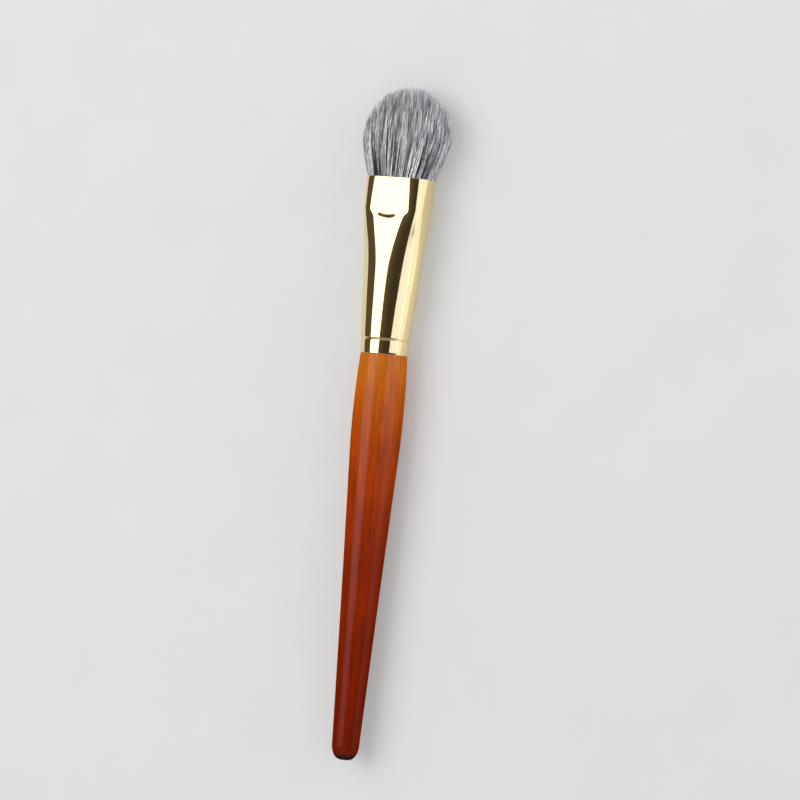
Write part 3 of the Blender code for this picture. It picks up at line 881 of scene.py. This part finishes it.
@dataclass
class Handle:
    """The turned handle with its tenon, one piece from the butt to inside the ferrule."""

    layout: Layout = Layout()
    shoulder_radius: float = 5.9 * MM
    shoulder_gap: float = 0.04 * MM
    neck_radius: float = 6.2 * MM
    neck_drop: float = 5.0 * MM
    neck_softening: float = 3.5 * MM
    knuckle_radius: float = 6.53 * MM
    knuckle_drop: float = 17.0 * MM
    knuckle_softening: float = 7.0 * MM
    butt_radius: float = 3.45 * MM
    dome_length: float = 3.8 * MM
    flat_radius: float = 1.1 * MM
    flat_softening: float = 0.25 * MM
    hollow: float = 0.08 * MM
    tenon_length: float = 14.0 * MM
    tenon_radius: float = 5.38 * MM
    tenon_chamfer: float = 1.0 * MM
    groove_height: float = 8.0 * MM
    groove_width: float = 2.6 * MM
    groove_depth: float = 0.9 * MM
    sides: int = 128
    corner_steps: int = 10
    taper_steps: int = 48
    dome_steps: int = 20

    def visible_side(self) -> Outline:
        """The line from the shoulder down to the flat of the butt, as place along X and radius.

        Returns:
            The line.
        """
        butt, foot = self.layout.butt, self.layout.foot
        corners = [
            (foot - self.shoulder_gap, self.shoulder_radius),
            (foot - self.neck_drop, self.neck_radius),
            (foot - self.knuckle_drop, self.knuckle_radius),
            (butt + self.dome_length, self.butt_radius),
        ]
        side = soften_corners(corners, [self.neck_softening, self.knuckle_softening], self.corner_steps)
        top, bottom = side[-2], side.pop()
        for step in range(1, self.taper_steps):
            share = step / self.taper_steps
            x, radius = blend_points(top, bottom, share)
            side.append((x, radius - self.hollow * math.sin(math.pi * share)))
        for step in range(self.dome_steps + 1):
            turn = math.pi / 2 * step / self.dome_steps
            radius = self.flat_radius + (self.butt_radius - self.flat_radius) * math.cos(turn)
            side.append((butt + self.dome_length * (1 - math.sin(turn)), radius))
        return side + [(butt, self.flat_radius - self.flat_softening)]

    def tenon_side(self) -> Outline:
        """The line from the tenon's end down to the shoulder, with its glue groove.

        Returns:
            The line.
        """
        end = self.layout.foot + self.tenon_length
        groove = self.layout.foot + self.groove_height
        half = self.groove_width / 2
        floor = self.tenon_radius - self.groove_depth
        return [
            (end, 0.0),
            (end, self.tenon_radius - self.tenon_chamfer),
            (end - self.tenon_chamfer, self.tenon_radius),
            (groove + half, self.tenon_radius),
            (groove + half, floor),
            (groove - half, floor),
            (groove - half, self.tenon_radius),
            (self.layout.foot - self.shoulder_gap, self.tenon_radius),
        ]

    def build(self) -> bpy.types.Object:
        """Turns the handle."""
        outline = self.tenon_side() + self.visible_side() + [(self.layout.butt, 0.0)]
        return turn_outline("turned_handle", outline, self.sides, self.layout)

    def dress(self, piece: bpy.types.Object) -> None:
        """Gives the handle its lacquered wood."""
        settle(piece, LacqueredWood().material(), "handle")


@dataclass
class Ferrule:
    """The pressed brass tube: spun round with its crimp and lips, then pressed.

    A zone is how far the closer rings reach before a place and past it.
    """

    form: PressedForm = PressedForm()
    wall: float = 0.35 * MM
    lip_radius: float = 0.14 * MM
    lip_steps: int = 4
    crimp_drop: float = 3.8 * MM
    crimp_half_width: float = 0.26 * MM
    crimp_depth: float = 0.13 * MM
    crimp_steepness: float = 2.5
    crimp_zone: Range = (1.2 * MM, 0.5 * MM)
    crease_zone: Range = (1.6 * MM, 1.8 * MM)
    shoulder_drop: float = 0.17 * MM
    shoulder_length: float = 1.3 * MM
    station: float = 0.42 * MM
    crimp_station: float = 0.05 * MM
    crease_station: float = 0.10 * MM
    sides: int = 176

    def stations(self) -> list[float]:
        """Places along X of the tube's rings, closer together at the crimp and the crease.

        Returns:
            The places, from the foot to the mouth.
        """
        layout = self.form.layout
        crimp = layout.foot + self.crimp_drop
        crease = layout.mouth - self.form.crease_drop
        last = layout.mouth - self.lip_radius
        starts = [
            (layout.foot + self.lip_radius, self.station),
            (crimp - self.crimp_zone[0], self.crimp_station),
            (crimp + self.crimp_zone[1], self.station),
            (crease - self.crease_zone[0], self.crease_station),
            (crease + self.crease_zone[1], self.station),
        ]
        ends = [start for start, _ in starts[1:]] + [last]
        places = []
        for (start, step), end in zip(starts, ends):
            places += spaced(start, end, step)
        return places + [last]

    def blank_offset(self, x: float) -> float:
        """How far the blank's outer face lies inside the foot's radius, for the rolled crimp.

        Args:
            x: place along the brush.

        Returns:
            The inset at that place.
        """
        from_crimp = x - self.form.layout.foot - self.crimp_drop
        nearness = (from_crimp / self.crimp_half_width) ** 2
        groove = self.crimp_depth * math.exp(-nearness * self.crimp_steepness)
        if from_crimp > 0:
            return groove
        fall = min(-from_crimp / self.shoulder_length, 1.0)
        return groove + self.shoulder_drop * (1 - fall) ** 2

    def lip(self, end: float, direction: int) -> Outline:
        """The rounded lip between the outer face and the inner one.

        Args:
            end: place along X of the tube's end.
            direction: 1 at the mouth and -1 at the foot.

        Returns:
            The lip's line, from the outer face to the inner one.
        """
        outer = self.form.foot_radius
        line = []
        for step in range(1, self.lip_steps + 1):
            turn = math.pi / 2 * step / self.lip_steps
            x = end - direction * self.lip_radius * (1 - math.sin(turn))
            line.append((x, outer - self.lip_radius * (1 - math.cos(turn))))
        return line + [(end, outer - self.wall)]

    def build(self) -> bpy.types.Object:
        """Spins the tube and presses it.

        Returns:
            The ferrule.
        """
        layout = self.form.layout
        outer = [(x, self.form.foot_radius - self.blank_offset(x)) for x in self.stations()]
        inner = [(x, radius - self.wall) for x, radius in outer[1:-1]]
        outline = outer + self.lip(layout.mouth, 1) + inner[::-1]
        outline += self.lip(layout.foot, -1)[::-1] + [outer[0]]
        tube = turn_outline("pressed_ferrule", outline, self.sides, layout)
        self.form.press(tube)
        return tube

    def dress(self, piece: bpy.types.Object) -> None:
        """Gives the ferrule its gold."""
        settle(piece, PolishedGold().material(), "ferrule")


class Tone(Enum):
    """The three tones of hair that are mixed in the tuft, each with its finish."""

    DARK = HairFinish("dark_hair", (0.022, 0.025, 0.034), (0.23, 0.23, 0.25), 0.9)
    GREY = HairFinish("grey_hair", (0.34, 0.345, 0.37), (0.58, 0.58, 0.60), 0.7)
    PALE = HairFinish("pale_hair", (0.90, 0.90, 0.89), (0.91, 0.91, 0.91), 0.3)


@dataclass(frozen=True)
class Bundles:
    """The bundles that the hairs clump in, as the number of each hair's bundle."""

    of: np.ndarray

    @property
    def count(self) -> int:
        """How many bundles there are."""
        return self.of.max() + 1

    def middles(self, places: np.ndarray) -> np.ndarray:
        """For each hair, the mean place of its bundle."""
        totals = np.stack([np.bincount(self.of, row) for row in places])
        return (totals / np.bincount(self.of))[:, self.of]


@dataclass(frozen=True)
class Planting:
    """What chance settles for the hairs, with a column for each hair.

    Where an array has two rows, the first is through the thin side and the second across the wide one.
    """

    roots: np.ndarray
    locks: Bundles
    wisps: Bundles
    tone: np.ndarray
    tips: np.ndarray
    drift: np.ndarray
    bend: np.ndarray
    turn: np.ndarray
    shade: np.ndarray


@dataclass
class Tuft:
    """The flat domed tuft: thousands of fine hairs in locks and wisps, fanned out from the mouth.

    Ranges go from the least to the most, and radii from the root to the tip. A rarity is the power
    that makes long shortfalls rare.
    """

    form: PressedForm = PressedForm()
    width: float = 22.8 * MM
    thickness: float = 12.4 * MM
    length: float = 23.4 * MM
    belly_height: float = 12.0 * MM
    outline_exponent: float = 2.3
    halvings: int = 24
    fan_share: float = 0.7
    inset: float = 0.40 * MM
    recess: float = 0.5 * MM
    root_depth: float = 0.3 * MM
    base_thickness: float = 2.0 * MM
    base_sides: int = 96
    pitch: float = 0.100 * MM
    lock_pitch: float = 0.36 * MM
    wisp_pitch: float = 0.25 * MM
    bundle_mixing: float = 0.16
    radii: Triple = (0.050 * MM, 0.072 * MM, 0.058 * MM)
    hair_sides: int = 3
    cuts: Triple = (0.25, 0.5, 0.75)
    lean: float = 0.55 * MM
    top_lean: float = 0.25 * MM
    clump: float = 0.45
    clump_speed: float = 1.25
    gather: float = 0.6
    bundle_stray: float = 0.225 * MM
    own_stray: float = 0.07 * MM
    stray_power: float = 1.5
    bend: float = 0.15 * MM
    wisp_shortfall: Range = (1.2 * MM, 4.8 * MM)
    wisp_rarity: float = 2.5
    own_shortfall: float = 2.0 * MM
    own_rarity: int = 3
    edge_share: float = 0.65
    tip_scatter: float = 0.2 * MM
    proud_share: float = 0.10
    proud_length: float = 0.9 * MM
    stray_limit: float = 0.3 * MM
    lowest: float = 0.04 * MM
    tone_shares: Triple = (0.37, 0.18, 0.45)
    lock_share: float = 0.5
    own_share: float = 0.08
    own_shade: float = 0.2
    seed: int = 7

    def mouth_sizes(self) -> np.ndarray:
        """Half of the thickness and width that the hairs stand in at the mouth."""
        return np.array([self.form.mouth_half_thin, self.form.mouth_half_wide]) - self.inset

    def half_sizes(self, height: np.ndarray) -> np.ndarray:
        """Half of the tuft's thickness, and of its width, at heights over the mouth.

        Args:
            height: the heights.

        Returns:
            A row of half thicknesses and a row of half widths.
        """
        mouth = self.mouth_sizes()[:, None]
        belly = np.array([[self.thickness / 2], [self.width / 2]])
        rise = np.clip(height / self.belly_height, 0, None)
        spread = (1 + self.fan_share) * rise - self.fan_share * rise**2
        return mouth + (belly - mouth) * spread

    def roots(self, chance: np.random.Generator) -> np.ndarray:
        """Where the hairs stand in the mouth, as shares of its half sizes.

        Args:
            chance: the seeded source of chance.

        Returns:
            For each hair, its share through the thin side and across the wide side.
        """
        half_thin, half_wide = self.mouth_sizes()
        rows = np.arange(-half_thin, half_thin, self.pitch)
        across, through = np.meshgrid(np.arange(-half_wide, half_wide, self.pitch), rows)
        across = (across.ravel() + chance.uniform(-0.5, 0.5, across.size) * self.pitch) / half_wide
        through = (through.ravel() + chance.uniform(-0.5, 0.5, through.size) * self.pitch) / half_thin
        exponent = self.form.mouth_exponent
        inside = np.abs(across) ** exponent + np.abs(through) ** exponent <= 1
        return np.stack([through[inside], across[inside]])

    def bundles(self, roots: np.ndarray, pitch: float, chance: np.random.Generator) -> Bundles:
        """Sorts the hairs into a loose grid of bundles.

        Args:
            roots: where the hairs stand in the mouth.
            pitch: how far apart the bundles are.
            chance: the seeded source of chance.

        Returns:
            The bundles.
        """
        place = (roots * self.mouth_sizes()[:, None]).T / pitch
        cells = np.floor(place + chance.normal(0, self.bundle_mixing, place.shape)).astype(int)
        return Bundles(np.unique(cells, axis=0, return_inverse=True)[1].ravel())

    def tones(self, locks: Bundles, wisps: Bundles, chance: np.random.Generator) -> np.ndarray:
        """Draws the number of each hair's tone: its lock's, its wisp's or now and then its own.

        Args:
            locks: the large bundles.
            wisps: the small bundles.
            chance: the seeded source of chance.

        Returns:
            The tone of each hair.
        """
        count = len(wisps.of)
        drawn = [
            chance.choice(len(Tone), size, p=self.tone_shares) for size in (locks.count, wisps.count, count)
        ]
        lock_tone, wisp_tone, own_tone = drawn
        by_lock = chance.random(wisps.count)[wisps.of] < self.lock_share
        tone = np.where(by_lock, lock_tone[locks.of], wisp_tone[wisps.of])
        return np.where(chance.random(count) < self.own_share, own_tone, tone)

    def dome_heights(self, roots: np.ndarray) -> np.ndarray:
        """Height over the mouth at which each hair meets the dome of the tuft, by halving.

        Args:
            roots: where the hairs stand in the mouth.

        Returns:
            The height for each hair.
        """
        low = np.zeros_like(roots[0])
        high = np.full_like(low, self.length)
        sizes = np.array([[self.thickness], [self.width]])
        for _ in range(self.halvings):
            middle = (low + high) / 2
            shares = np.abs(2 * roots * self.half_sizes(middle) / sizes) ** self.outline_exponent
            reach = (shares[0] + shares[1]) ** (1 / self.outline_exponent)
            dome = np.sqrt(np.clip(1 - reach**2, 0, None))
            below = middle < self.belly_height + (self.length - self.belly_height) * dome
            low = np.where(below, middle, low)
            high = np.where(below, high, middle)
        return high

    def tip_heights(self, roots: np.ndarray, wisps: Bundles, chance: np.random.Generator) -> np.ndarray:
        """Draws each hair's length: most end a little under the dome, and a few stand proud of it.

        Args:
            roots: where the hairs stand in the mouth.
            wisps: the small bundles.
            chance: the seeded source of chance.

        Returns:
            The height of each hair's tip over the mouth.
        """
        count = len(wisps.of)
        edge = np.clip(np.hypot(roots[0], roots[1]), 0, 1)
        least, most = self.wisp_shortfall
        rare = chance.random(wisps.count) ** self.wisp_rarity
        shortfall = (rare * (least + (most - least) * chance.random(wisps.count)))[wisps.of]
        shortfall = shortfall + chance.random(count) ** self.own_rarity * self.own_shortfall
        shortfall = shortfall * (1 - self.edge_share + self.edge_share * edge)
        tips = self.dome_heights(roots) - shortfall + chance.normal(0, self.tip_scatter, count)
        proud = (chance.random(wisps.count) < self.proud_share) * chance.random(wisps.count)
        return tips + proud[wisps.of] * self.proud_length

    def plant(self) -> Planting:
        """Settles by chance where each hair stands, how it runs and which tone it has.

        Returns:
            All that was settled.
        """
        chance = np.random.default_rng(self.seed)
        roots = self.roots(chance)
        count = roots.shape[1]
        locks = self.bundles(roots, self.lock_pitch, chance)
        wisps = self.bundles(roots, self.wisp_pitch, chance)
        tone = self.tones(locks, wisps, chance)
        tips = self.tip_heights(roots, wisps, chance)
        drift = chance.normal(0, 1, (2, count)) * self.own_stray
        for bundles in (wisps, locks):
            drift = drift + (chance.normal(0, 1, (2, bundles.count)) * self.bundle_stray)[:, bundles.of]
        bend = chance.normal(0, 1, (2, count)) * self.bend
        turn = chance.random(count) * math.tau
        shared_shade = (1 - self.own_shade) * chance.random(wisps.count)[wisps.of]
        shade = shared_shade + self.own_shade * chance.random(count)
        return Planting(roots, locks, wisps, tone, tips, drift, bend, turn, shade)

    def pattern_hair(self) -> bpy.types.Object:
        """One hair as modelled by hand: a slim three-sided cone, cut into four lengths.

        Returns:
            The pattern.
        """
        start_clean()
        cone = {"vertices": self.hair_sides, "radius1": 1, "radius2": 0, "depth": 1}
        bpy.ops.mesh.primitive_cone_add(location=(0, 0, 0.5), **cone)
        for cut in self.cuts:
            edit_all()
            bpy.ops.mesh.bisect(plane_co=(0, 0, cut), plane_no=(0, 0, 1))
        return finish_piece("pattern_hair", math.pi)

    def grow(self, hairs: Planting, template: np.ndarray) -> np.ndarray:
        """Shapes a copy of the pattern for each hair.

        Args:
            hairs: what chance settled for the hairs.
            template: the pattern's vertices, with the hair upright and of length 1.

        Returns:
            For each hair, the places of its vertices.
        """
        layout = self.form.layout
        to_lock = hairs.locks.middles(hairs.roots) - hairs.roots
        to_wisp = hairs.wisps.middles(hairs.roots) - hairs.roots
        points = np.empty((len(hairs.tips), len(template), 3))
        for number, (front, left, height) in enumerate(template):
            along = np.clip(height, 0, 1)
            heights = along * hairs.tips
            rise = heights / self.belly_height
            pull = self.clump * math.sin(math.pi * min(along * self.clump_speed, 1.0))
            place = hairs.roots + to_lock * pull + to_wisp * (self.gather * along)
            bend = hairs.bend * math.sin(math.pi * along)
            up, side = place * self.half_sizes(heights) + hairs.drift * along**self.stray_power + bend
            side = side - self.lean * np.sin(np.pi / 2 * np.clip(rise, 0, 1))
            side = side - self.top_lean * np.clip(rise - 1, 0, 1)
            has_ring = math.hypot(front, left) > MERGE_DISTANCE
            radius = np.interp(along, (0, 0.5, 1), self.radii) if has_ring else 0.0
            angle = math.atan2(left, front) + hairs.turn
            buried = self.recess + self.root_depth if along == 0 else 0.0
            points[:, number, 0] = layout.mouth + heights - buried
            points[:, number, 1] = side + radius * np.cos(angle)
            points[:, number, 2] = layout.axis_height + up + radius * np.sin(angle)
        highest = 2 * layout.axis_height + self.stray_limit
        widest = self.form.cad_half_width + self.stray_limit
        points[:, :, 1] = np.clip(points[:, :, 1], -widest, widest)
        points[:, :, 2] = np.clip(points[:, :, 2], self.lowest, highest)
        return points

    def build(self) -> list[bpy.types.Object]:
        """Plants the hairs, and makes one piece of each tone.

        Returns:
            The three pieces, in the order of the tones.
        """
        hairs = self.plant()
        pattern = self.pattern_hair()
        template = points_of(pattern.data)
        points = self.grow(hairs, template)
        pieces = []
        for number, tone in enumerate(Tone):
            chosen = hairs.tone == number
            values = {
                "tone": np.repeat(hairs.shade[chosen], len(template)),
                "along": np.tile(np.clip(template[:, 2], 0, 1), chosen.sum()),
            }
            pieces.append(self.repeat(f"tuft_{tone.value.name}", pattern.data, points[chosen], values))
        bpy.data.objects.remove(pattern)
        return pieces

    @staticmethod
    def repeat(name: str, pattern: bpy.types.Mesh, points: np.ndarray, values: dict) -> bpy.types.Object:
        """One mesh with a copy of the pattern's faces for every row of points.

        Args:
            name: the piece's name.
            pattern: the mesh whose faces are copied.
            points: for every copy, the places of the pattern's vertices.
            values: the numbers that the vertices carry, by name.

        Returns:
            The new piece.
        """
        copies, size = points.shape[:2]
        corners = np.array([loop.vertex_index for loop in pattern.loops])
        starts = np.array([polygon.loop_start for polygon in pattern.polygons])
        number = np.arange(copies)[:, None]
        mesh = bpy.data.meshes.new(name)
        mesh.vertices.add(copies * size)
        mesh.vertices.foreach_set("co", points.astype(np.float32).ravel())
        mesh.loops.add(copies * len(corners))
        mesh.loops.foreach_set("vertex_index", (corners + number * size).ravel())
        mesh.polygons.add(copies * len(starts))
        mesh.polygons.foreach_set("loop_start", (starts + number * len(corners)).ravel())
        mesh.update(calc_edges=True)
        mesh.shade_flat()
        for label, numbers in values.items():
            attribute = mesh.attributes.new(label, "FLOAT", "POINT")
            attribute.data.foreach_set("value", numbers.astype(np.float32))
        piece = bpy.data.objects.new(name, mesh)
        bpy.context.scene.collection.objects.link(piece)
        return piece

    def build_base(self) -> bpy.types.Object:
        """The top slice of the glued root, which the hairs stand in.

        Returns:
            The slice.
        """
        start_clean()
        layout = self.form.layout
        bpy.ops.mesh.primitive_circle_add(
            vertices=self.base_sides,
            radius=self.form.foot_radius - self.inset,
            fill_type="NGON",
            location=(layout.mouth - self.recess, 0, layout.axis_height),
            rotation=(0, math.pi / 2, 0),
        )
        edit_all()
        bpy.ops.mesh.extrude_region_move(TRANSFORM_OT_translate={"value": (-self.base_thickness, 0, 0)})
        face_outwards()
        piece = finish_piece("tuft_glued_base")
        self.form.press(piece)
        return piece

    def dress(self, pieces: list[bpy.types.Object], base: bpy.types.Object) -> None:
        """Gives each tone of hair, and the glued base, its finish.

        Args:
            pieces: the three pieces of hair.
            base: the slice of glued root.
        """
        for piece, tone in zip(pieces, Tone):
            settle(piece, tone.value.material(), "hair")
        glue = SetGlue("glued_hair", (0.10, 0.09, 0.08), (0.03, 0.028, 0.028), 0.5)
        settle(base, glue.material(), "hair")


@dataclass
class RootBinding:
    """What is hidden in the ferrule: the thread round the glued root, and the glue on the tenon."""

    form: PressedForm = PressedForm()
    start: float = 38.85 * MM
    thread_radius: float = 0.25 * MM
    turn_pitch: float = 1.0 * MM
    turns: int = 3
    inset: float = 0.90 * MM
    section_sides: int = 12
    steps_per_turn: int = 72
    sharp_angle: float = math.radians(50)

    def build(self) -> bpy.types.Object:
        """Winds the thread: a small circle that a Screw modifier carries round the axis.

        Returns:
            The thread.
        """
        start_clean()
        bpy.ops.mesh.primitive_circle_add(
            vertices=self.section_sides,
            radius=self.thread_radius,
            location=(0, 0, 0),
            rotation=(math.pi / 2, 0, 0),
        )
        edit_all()
        bpy.ops.transform.translate(value=(self.start, 0, self.form.foot_radius - self.inset))
        leave_edit_mode()
        bpy.ops.object.transform_apply(location=True, rotation=True, scale=True)
        apply_modifier(
            "SCREW",
            axis="X",
            angle=math.tau,
            screw_offset=self.turn_pitch,
            iterations=self.turns,
            steps=self.steps_per_turn,
            render_steps=self.steps_per_turn,
        )
        edit_all()
        bpy.ops.mesh.fill_holes(sides=self.section_sides)
        face_outwards()
        bpy.ops.transform.translate(value=(0, 0, self.form.layout.axis_height))
        piece = finish_piece("wound_thread", self.sharp_angle)
        self.form.press(piece)
        return piece

    def dress(self, thread: bpy.types.Object) -> None:
        """Finishes the thread and the two CAD nodes that stay as they are.

        Args:
            thread: the wound thread.
        """
        settle(thread, TwistedThread().material(), "binding_thread")
        finishes = {
            "root_plug": SetGlue("glued_hair_root", (0.42, 0.30, 0.16), (0.10, 0.085, 0.07), 0.35),
            "handle_glue": SetGlue("clear_set_glue", (0.72, 0.55, 0.30), (0.55, 0.38, 0.18), 0.2),
        }
        for name, finish in finishes.items():
            paint(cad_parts[name], finish.material())
            LOG.info("%s: CAD node with its own finish", name)


# Floor, lamps and camera

@dataclass(frozen=True)
class Softbox:
    """A soft rectangular lamp that the camera doesn't see."""

    name: str
    breadth: float
    length: float
    watts: float
    colour: Colour = (1.0, 1.0, 1.0)

    def hang(self, place: Vector | Triple, rotation: Euler | Triple) -> None:
        """Hangs the lamp.

        Args:
            place: where its middle is.
            rotation: its turns about X, Y and Z.
        """
        start_clean()
        bpy.ops.object.light_add(type="AREA", location=place, rotation=rotation)
        lamp = bpy.context.active_object
        adjust(lamp, name=self.name, visible_camera=False)
        adjust(lamp.data, shape="RECTANGLE", size=self.breadth, size_y=self.length)
        adjust(lamp.data, energy=self.watts, color=self.colour)
        LOG.info("%s: %.2f W", self.name, self.watts)


@dataclass(frozen=True)
class Station:
    """A place by its angle round the brush from the camera's direction."""

    angle: float
    distance: float
    along: float


@dataclass
class Studio:
    """The pale floor, the soft lamps and the camera at the photograph's viewing angle.

    The fill band is in millimetres, and the walls and the deep band are shares of a direction.
    """

    layout: Layout = Layout()
    roll: float = math.radians(26.0)
    tilt: float = math.radians(5.62)
    sensor: float = 36.0
    focal_pixels: float = 3000.0
    picture_pixels: float = 800.0
    pixel_size: float = 0.2519 * MM
    target_x: float = 6.0 * MM
    target_right: float = 20.5
    clip_start: float = 0.01
    clip_end: float = 50.0
    floor_radius: float = 3.0
    floor_sides: int = 128
    rim_height: float = 0.27
    rim_angle: float = math.radians(80)
    cove_width: float = 0.2
    cove_segments: int = 10
    cove_angle: float = math.radians(60)
    floor_colour: Colour = (0.785, 0.785, 0.78)
    floor_roughness: float = 0.75
    floor_specular: float = 0.2
    mottle_scale: float = 0.05
    mottle_light: Range = (0.985, 1.015)
    shown_level: float = 0.74
    floor_fill: float = 0.30
    fill_band: Range = (260.0, 700.0)
    dim_world: Colour = (0.077, 0.058, 0.0375)
    deep_angle: float = 15.0
    deep_band: Range = (0.77, 0.985)
    deep_light: Range = (1.25, 0.62)
    butt_wall: Range = (-0.85, -0.25)
    tip_wall: Range = (0.25, 0.85)
    tip_wall_side: Range = (0.15, 0.40)
    lit_end: Colour = (0.42, 0.41, 0.39)
    room_fill: Colour = (0.555, 0.555, 0.558)
    softboxes: tuple = (
        (Softbox("softbox_left", 0.70, 0.88, 4.0), Station(-51.0, 0.9, 0.18)),
        (Softbox("softbox_right", 0.664, 1.0, 2.65, (0.78, 0.84, 1.0)), Station(42.75, 0.9, 0.41)),
    )
    low_box: Softbox = Softbox("softbox_low", 0.8, 0.40, 0.35)
    low_place: Triple = (0.02, -0.2323, MM)
    low_rotation: Triple = (math.pi, 0.0, math.radians(15.0))

    def direction(self, angle: float) -> Vector:
        """The direction at an angle round the brush's axis, from the camera's to the picture's right.

        Args:
            angle: the angle in degrees.

        Returns:
            The direction, of length 1.
        """
        toward_camera = Vector((0, -math.sin(self.roll), math.cos(self.roll)))
        rightward = Vector((0, -math.cos(self.roll), -math.sin(self.roll)))
        turn = math.radians(angle)
        return toward_camera * math.cos(turn) + rightward * math.sin(turn)

    @staticmethod
    def facing(right: Vector, back: Vector) -> Euler:
        """The rotation of a camera or lamp whose X and Z axes point in two directions."""
        return Matrix((right, back.cross(right), back)).transposed().to_euler()

    def build_camera(self) -> None:
        """Aims the camera square at the brush's axis, rolled as in the photograph."""
        toward_camera = self.direction(0)
        along = Vector((1, 0, 0))
        right = self.direction(90) * math.cos(self.tilt) + along * math.sin(self.tilt)
        target = Vector((self.target_x, 0, self.layout.axis_height))
        target += right * (self.target_right * self.pixel_size)
        place = target + toward_camera * (self.focal_pixels * self.pixel_size)
        start_clean()
        bpy.ops.object.camera_add(location=place, rotation=self.facing(right, toward_camera))
        camera = bpy.context.active_object
        lens = self.sensor * self.focal_pixels / self.picture_pixels
        adjust(camera.data, sensor_width=self.sensor, lens=lens)
        adjust(camera.data, clip_start=self.clip_start, clip_end=self.clip_end)
        bpy.context.scene.camera = camera

    def build_lamps(self) -> None:
        """Hangs the soft lamps."""
        for box, station in self.softboxes:
            aim = self.direction(station.angle)
            place = Vector((station.along, 0, 0)) + aim * station.distance
            box.hang(place, self.facing(self.direction(station.angle + 90), aim))
        self.low_box.hang(self.low_place, self.low_rotation)

    def build_world(self) -> None:
        """Sets the dim room behind the lamps, which the camera sees as a pale backdrop."""
        world = bpy.data.worlds.new("dim_room")
        world.use_nodes = True
        sheet = NodeSheet(world.node_tree)
        rays = sheet.add("LightPath").outputs
        level = sheet.mix(rays["Is Glossy Ray"], self.room_fill, self.mirrored_room(sheet))
        seen = sheet.chain("MAXIMUM", rays["Is Camera Ray"], rays["Is Transmission Ray"])
        shown = sheet.mix(seen, level, (self.shown_level,) * 3)
        sheet.feed(world.node_tree.nodes["Background"], {"Color": shown})
        bpy.context.scene.world = world

    def mirrored_room(self, sheet: NodeSheet) -> bpy.types.NodeSocket:
        """The dim room that the gold and the lacquer mirror, with paler walls past the brush's two ends.

        Args:
            sheet: the world's nodes.

        Returns:
            The room's colour.
        """
        outward = sheet.add("TexCoord").outputs["Generated"]
        split = sheet.add("SeparateXYZ", {0: outward}).outputs
        past_butt = sheet.remap(split[0], self.butt_wall, FALLING, True)
        past_tip = sheet.reckon(
            "MULTIPLY",
            sheet.remap(split[0], self.tip_wall, UNIT, True),
            sheet.remap(split[1], self.tip_wall_side, FALLING, True),
        )
        joins = {0: outward, 1: self.direction(self.deep_angle)}
        beside = sheet.add("VectorMath", joins, operation="DOT_PRODUCT").outputs["Value"]
        dim = sheet.shade(self.dim_world, sheet.remap(beside, self.deep_band, self.deep_light, True))
        return sheet.mix(sheet.reckon("MAXIMUM", past_butt, past_tip), dim, self.lit_end)

    def build_floor(self) -> None:
        """Lays the pale floor, which turns up into a low backdrop all round."""
        start_clean()
        circle = {"vertices": self.floor_sides, "radius": self.floor_radius, "fill_type": "NGON"}
        bpy.ops.mesh.primitive_circle_add(**circle)
        edit_all()
        bpy.ops.mesh.region_to_loop()
        bpy.ops.mesh.extrude_edges_move(TRANSFORM_OT_translate={"value": (0, 0, self.rim_height)})
        floor = finish_piece("floor", self.rim_angle)
        cove = {"width": self.cove_width, "segments": self.cove_segments, "angle_limit": self.cove_angle}
        apply_modifier("BEVEL", limit_method="ANGLE", **cove)
        floor.data.materials.append(self.floor_material())

    def floor_material(self) -> bpy.types.Material:
        """A pale floor that keeps the shadow near the brush and stays pale far from it.

        Returns:
            The material.
        """
        material, sheet, shader, place = new_material("pale_floor")
        mottled = sheet.noise(place, scale=self.mottle_scale, detail=3.0)
        mottle = sheet.remap(mottled, NOISE_SPREAD, self.mottle_light)
        joins = {
            "Base Color": sheet.shade(self.floor_colour, mottle),
            "Roughness": self.floor_roughness,
            "Specular IOR Level": self.floor_specular,
        }
        sheet.feed(shader, joins)
        away = sheet.add("VectorMath", {0: place}, operation="LENGTH").outputs["Value"]
        far = sheet.remap(away, self.fill_band, (self.floor_fill, 1.0), True)
        rays = sheet.add("LightPath").outputs
        seen = [rays[f"Is {kind} Ray"] for kind in ("Camera", "Glossy", "Transmission")]
        share = sheet.reckon("MULTIPLY", far, sheet.chain("MAXIMUM", *seen))
        joins = {"Color": self.floor_colour, "Strength": self.shown_level / self.floor_colour[0]}
        level = sheet.add("Emission", joins)
        both = sheet.add("MixShader", {0: share, 1: shader.outputs[0], 2: level.outputs[0]})
        sheet.feed(sheet.tree.nodes["Material Output"], {"Surface": both.outputs[0]})
        return material

    def build(self) -> None:
        """Sets up the floor, the lamps, the room, the camera and the plain view transform."""
        self.build_floor()
        self.build_lamps()
        self.build_world()
        self.build_camera()
        bpy.context.scene.view_settings.view_transform = "Standard"


def main() -> None:
    """Builds the brush's pieces in order, then the studio, and reports each."""
    logging.basicConfig(level=logging.INFO, format="%(name)s: %(message)s")
    handle = Handle()
    handle.dress(handle.build())
    ferrule = Ferrule()
    ferrule.dress(ferrule.build())
    tuft = Tuft()
    tuft.dress(tuft.build(), tuft.build_base())
    binding = RootBinding()
    binding.dress(binding.build())
    Studio().build()


if __name__ == "__main__":
    main()
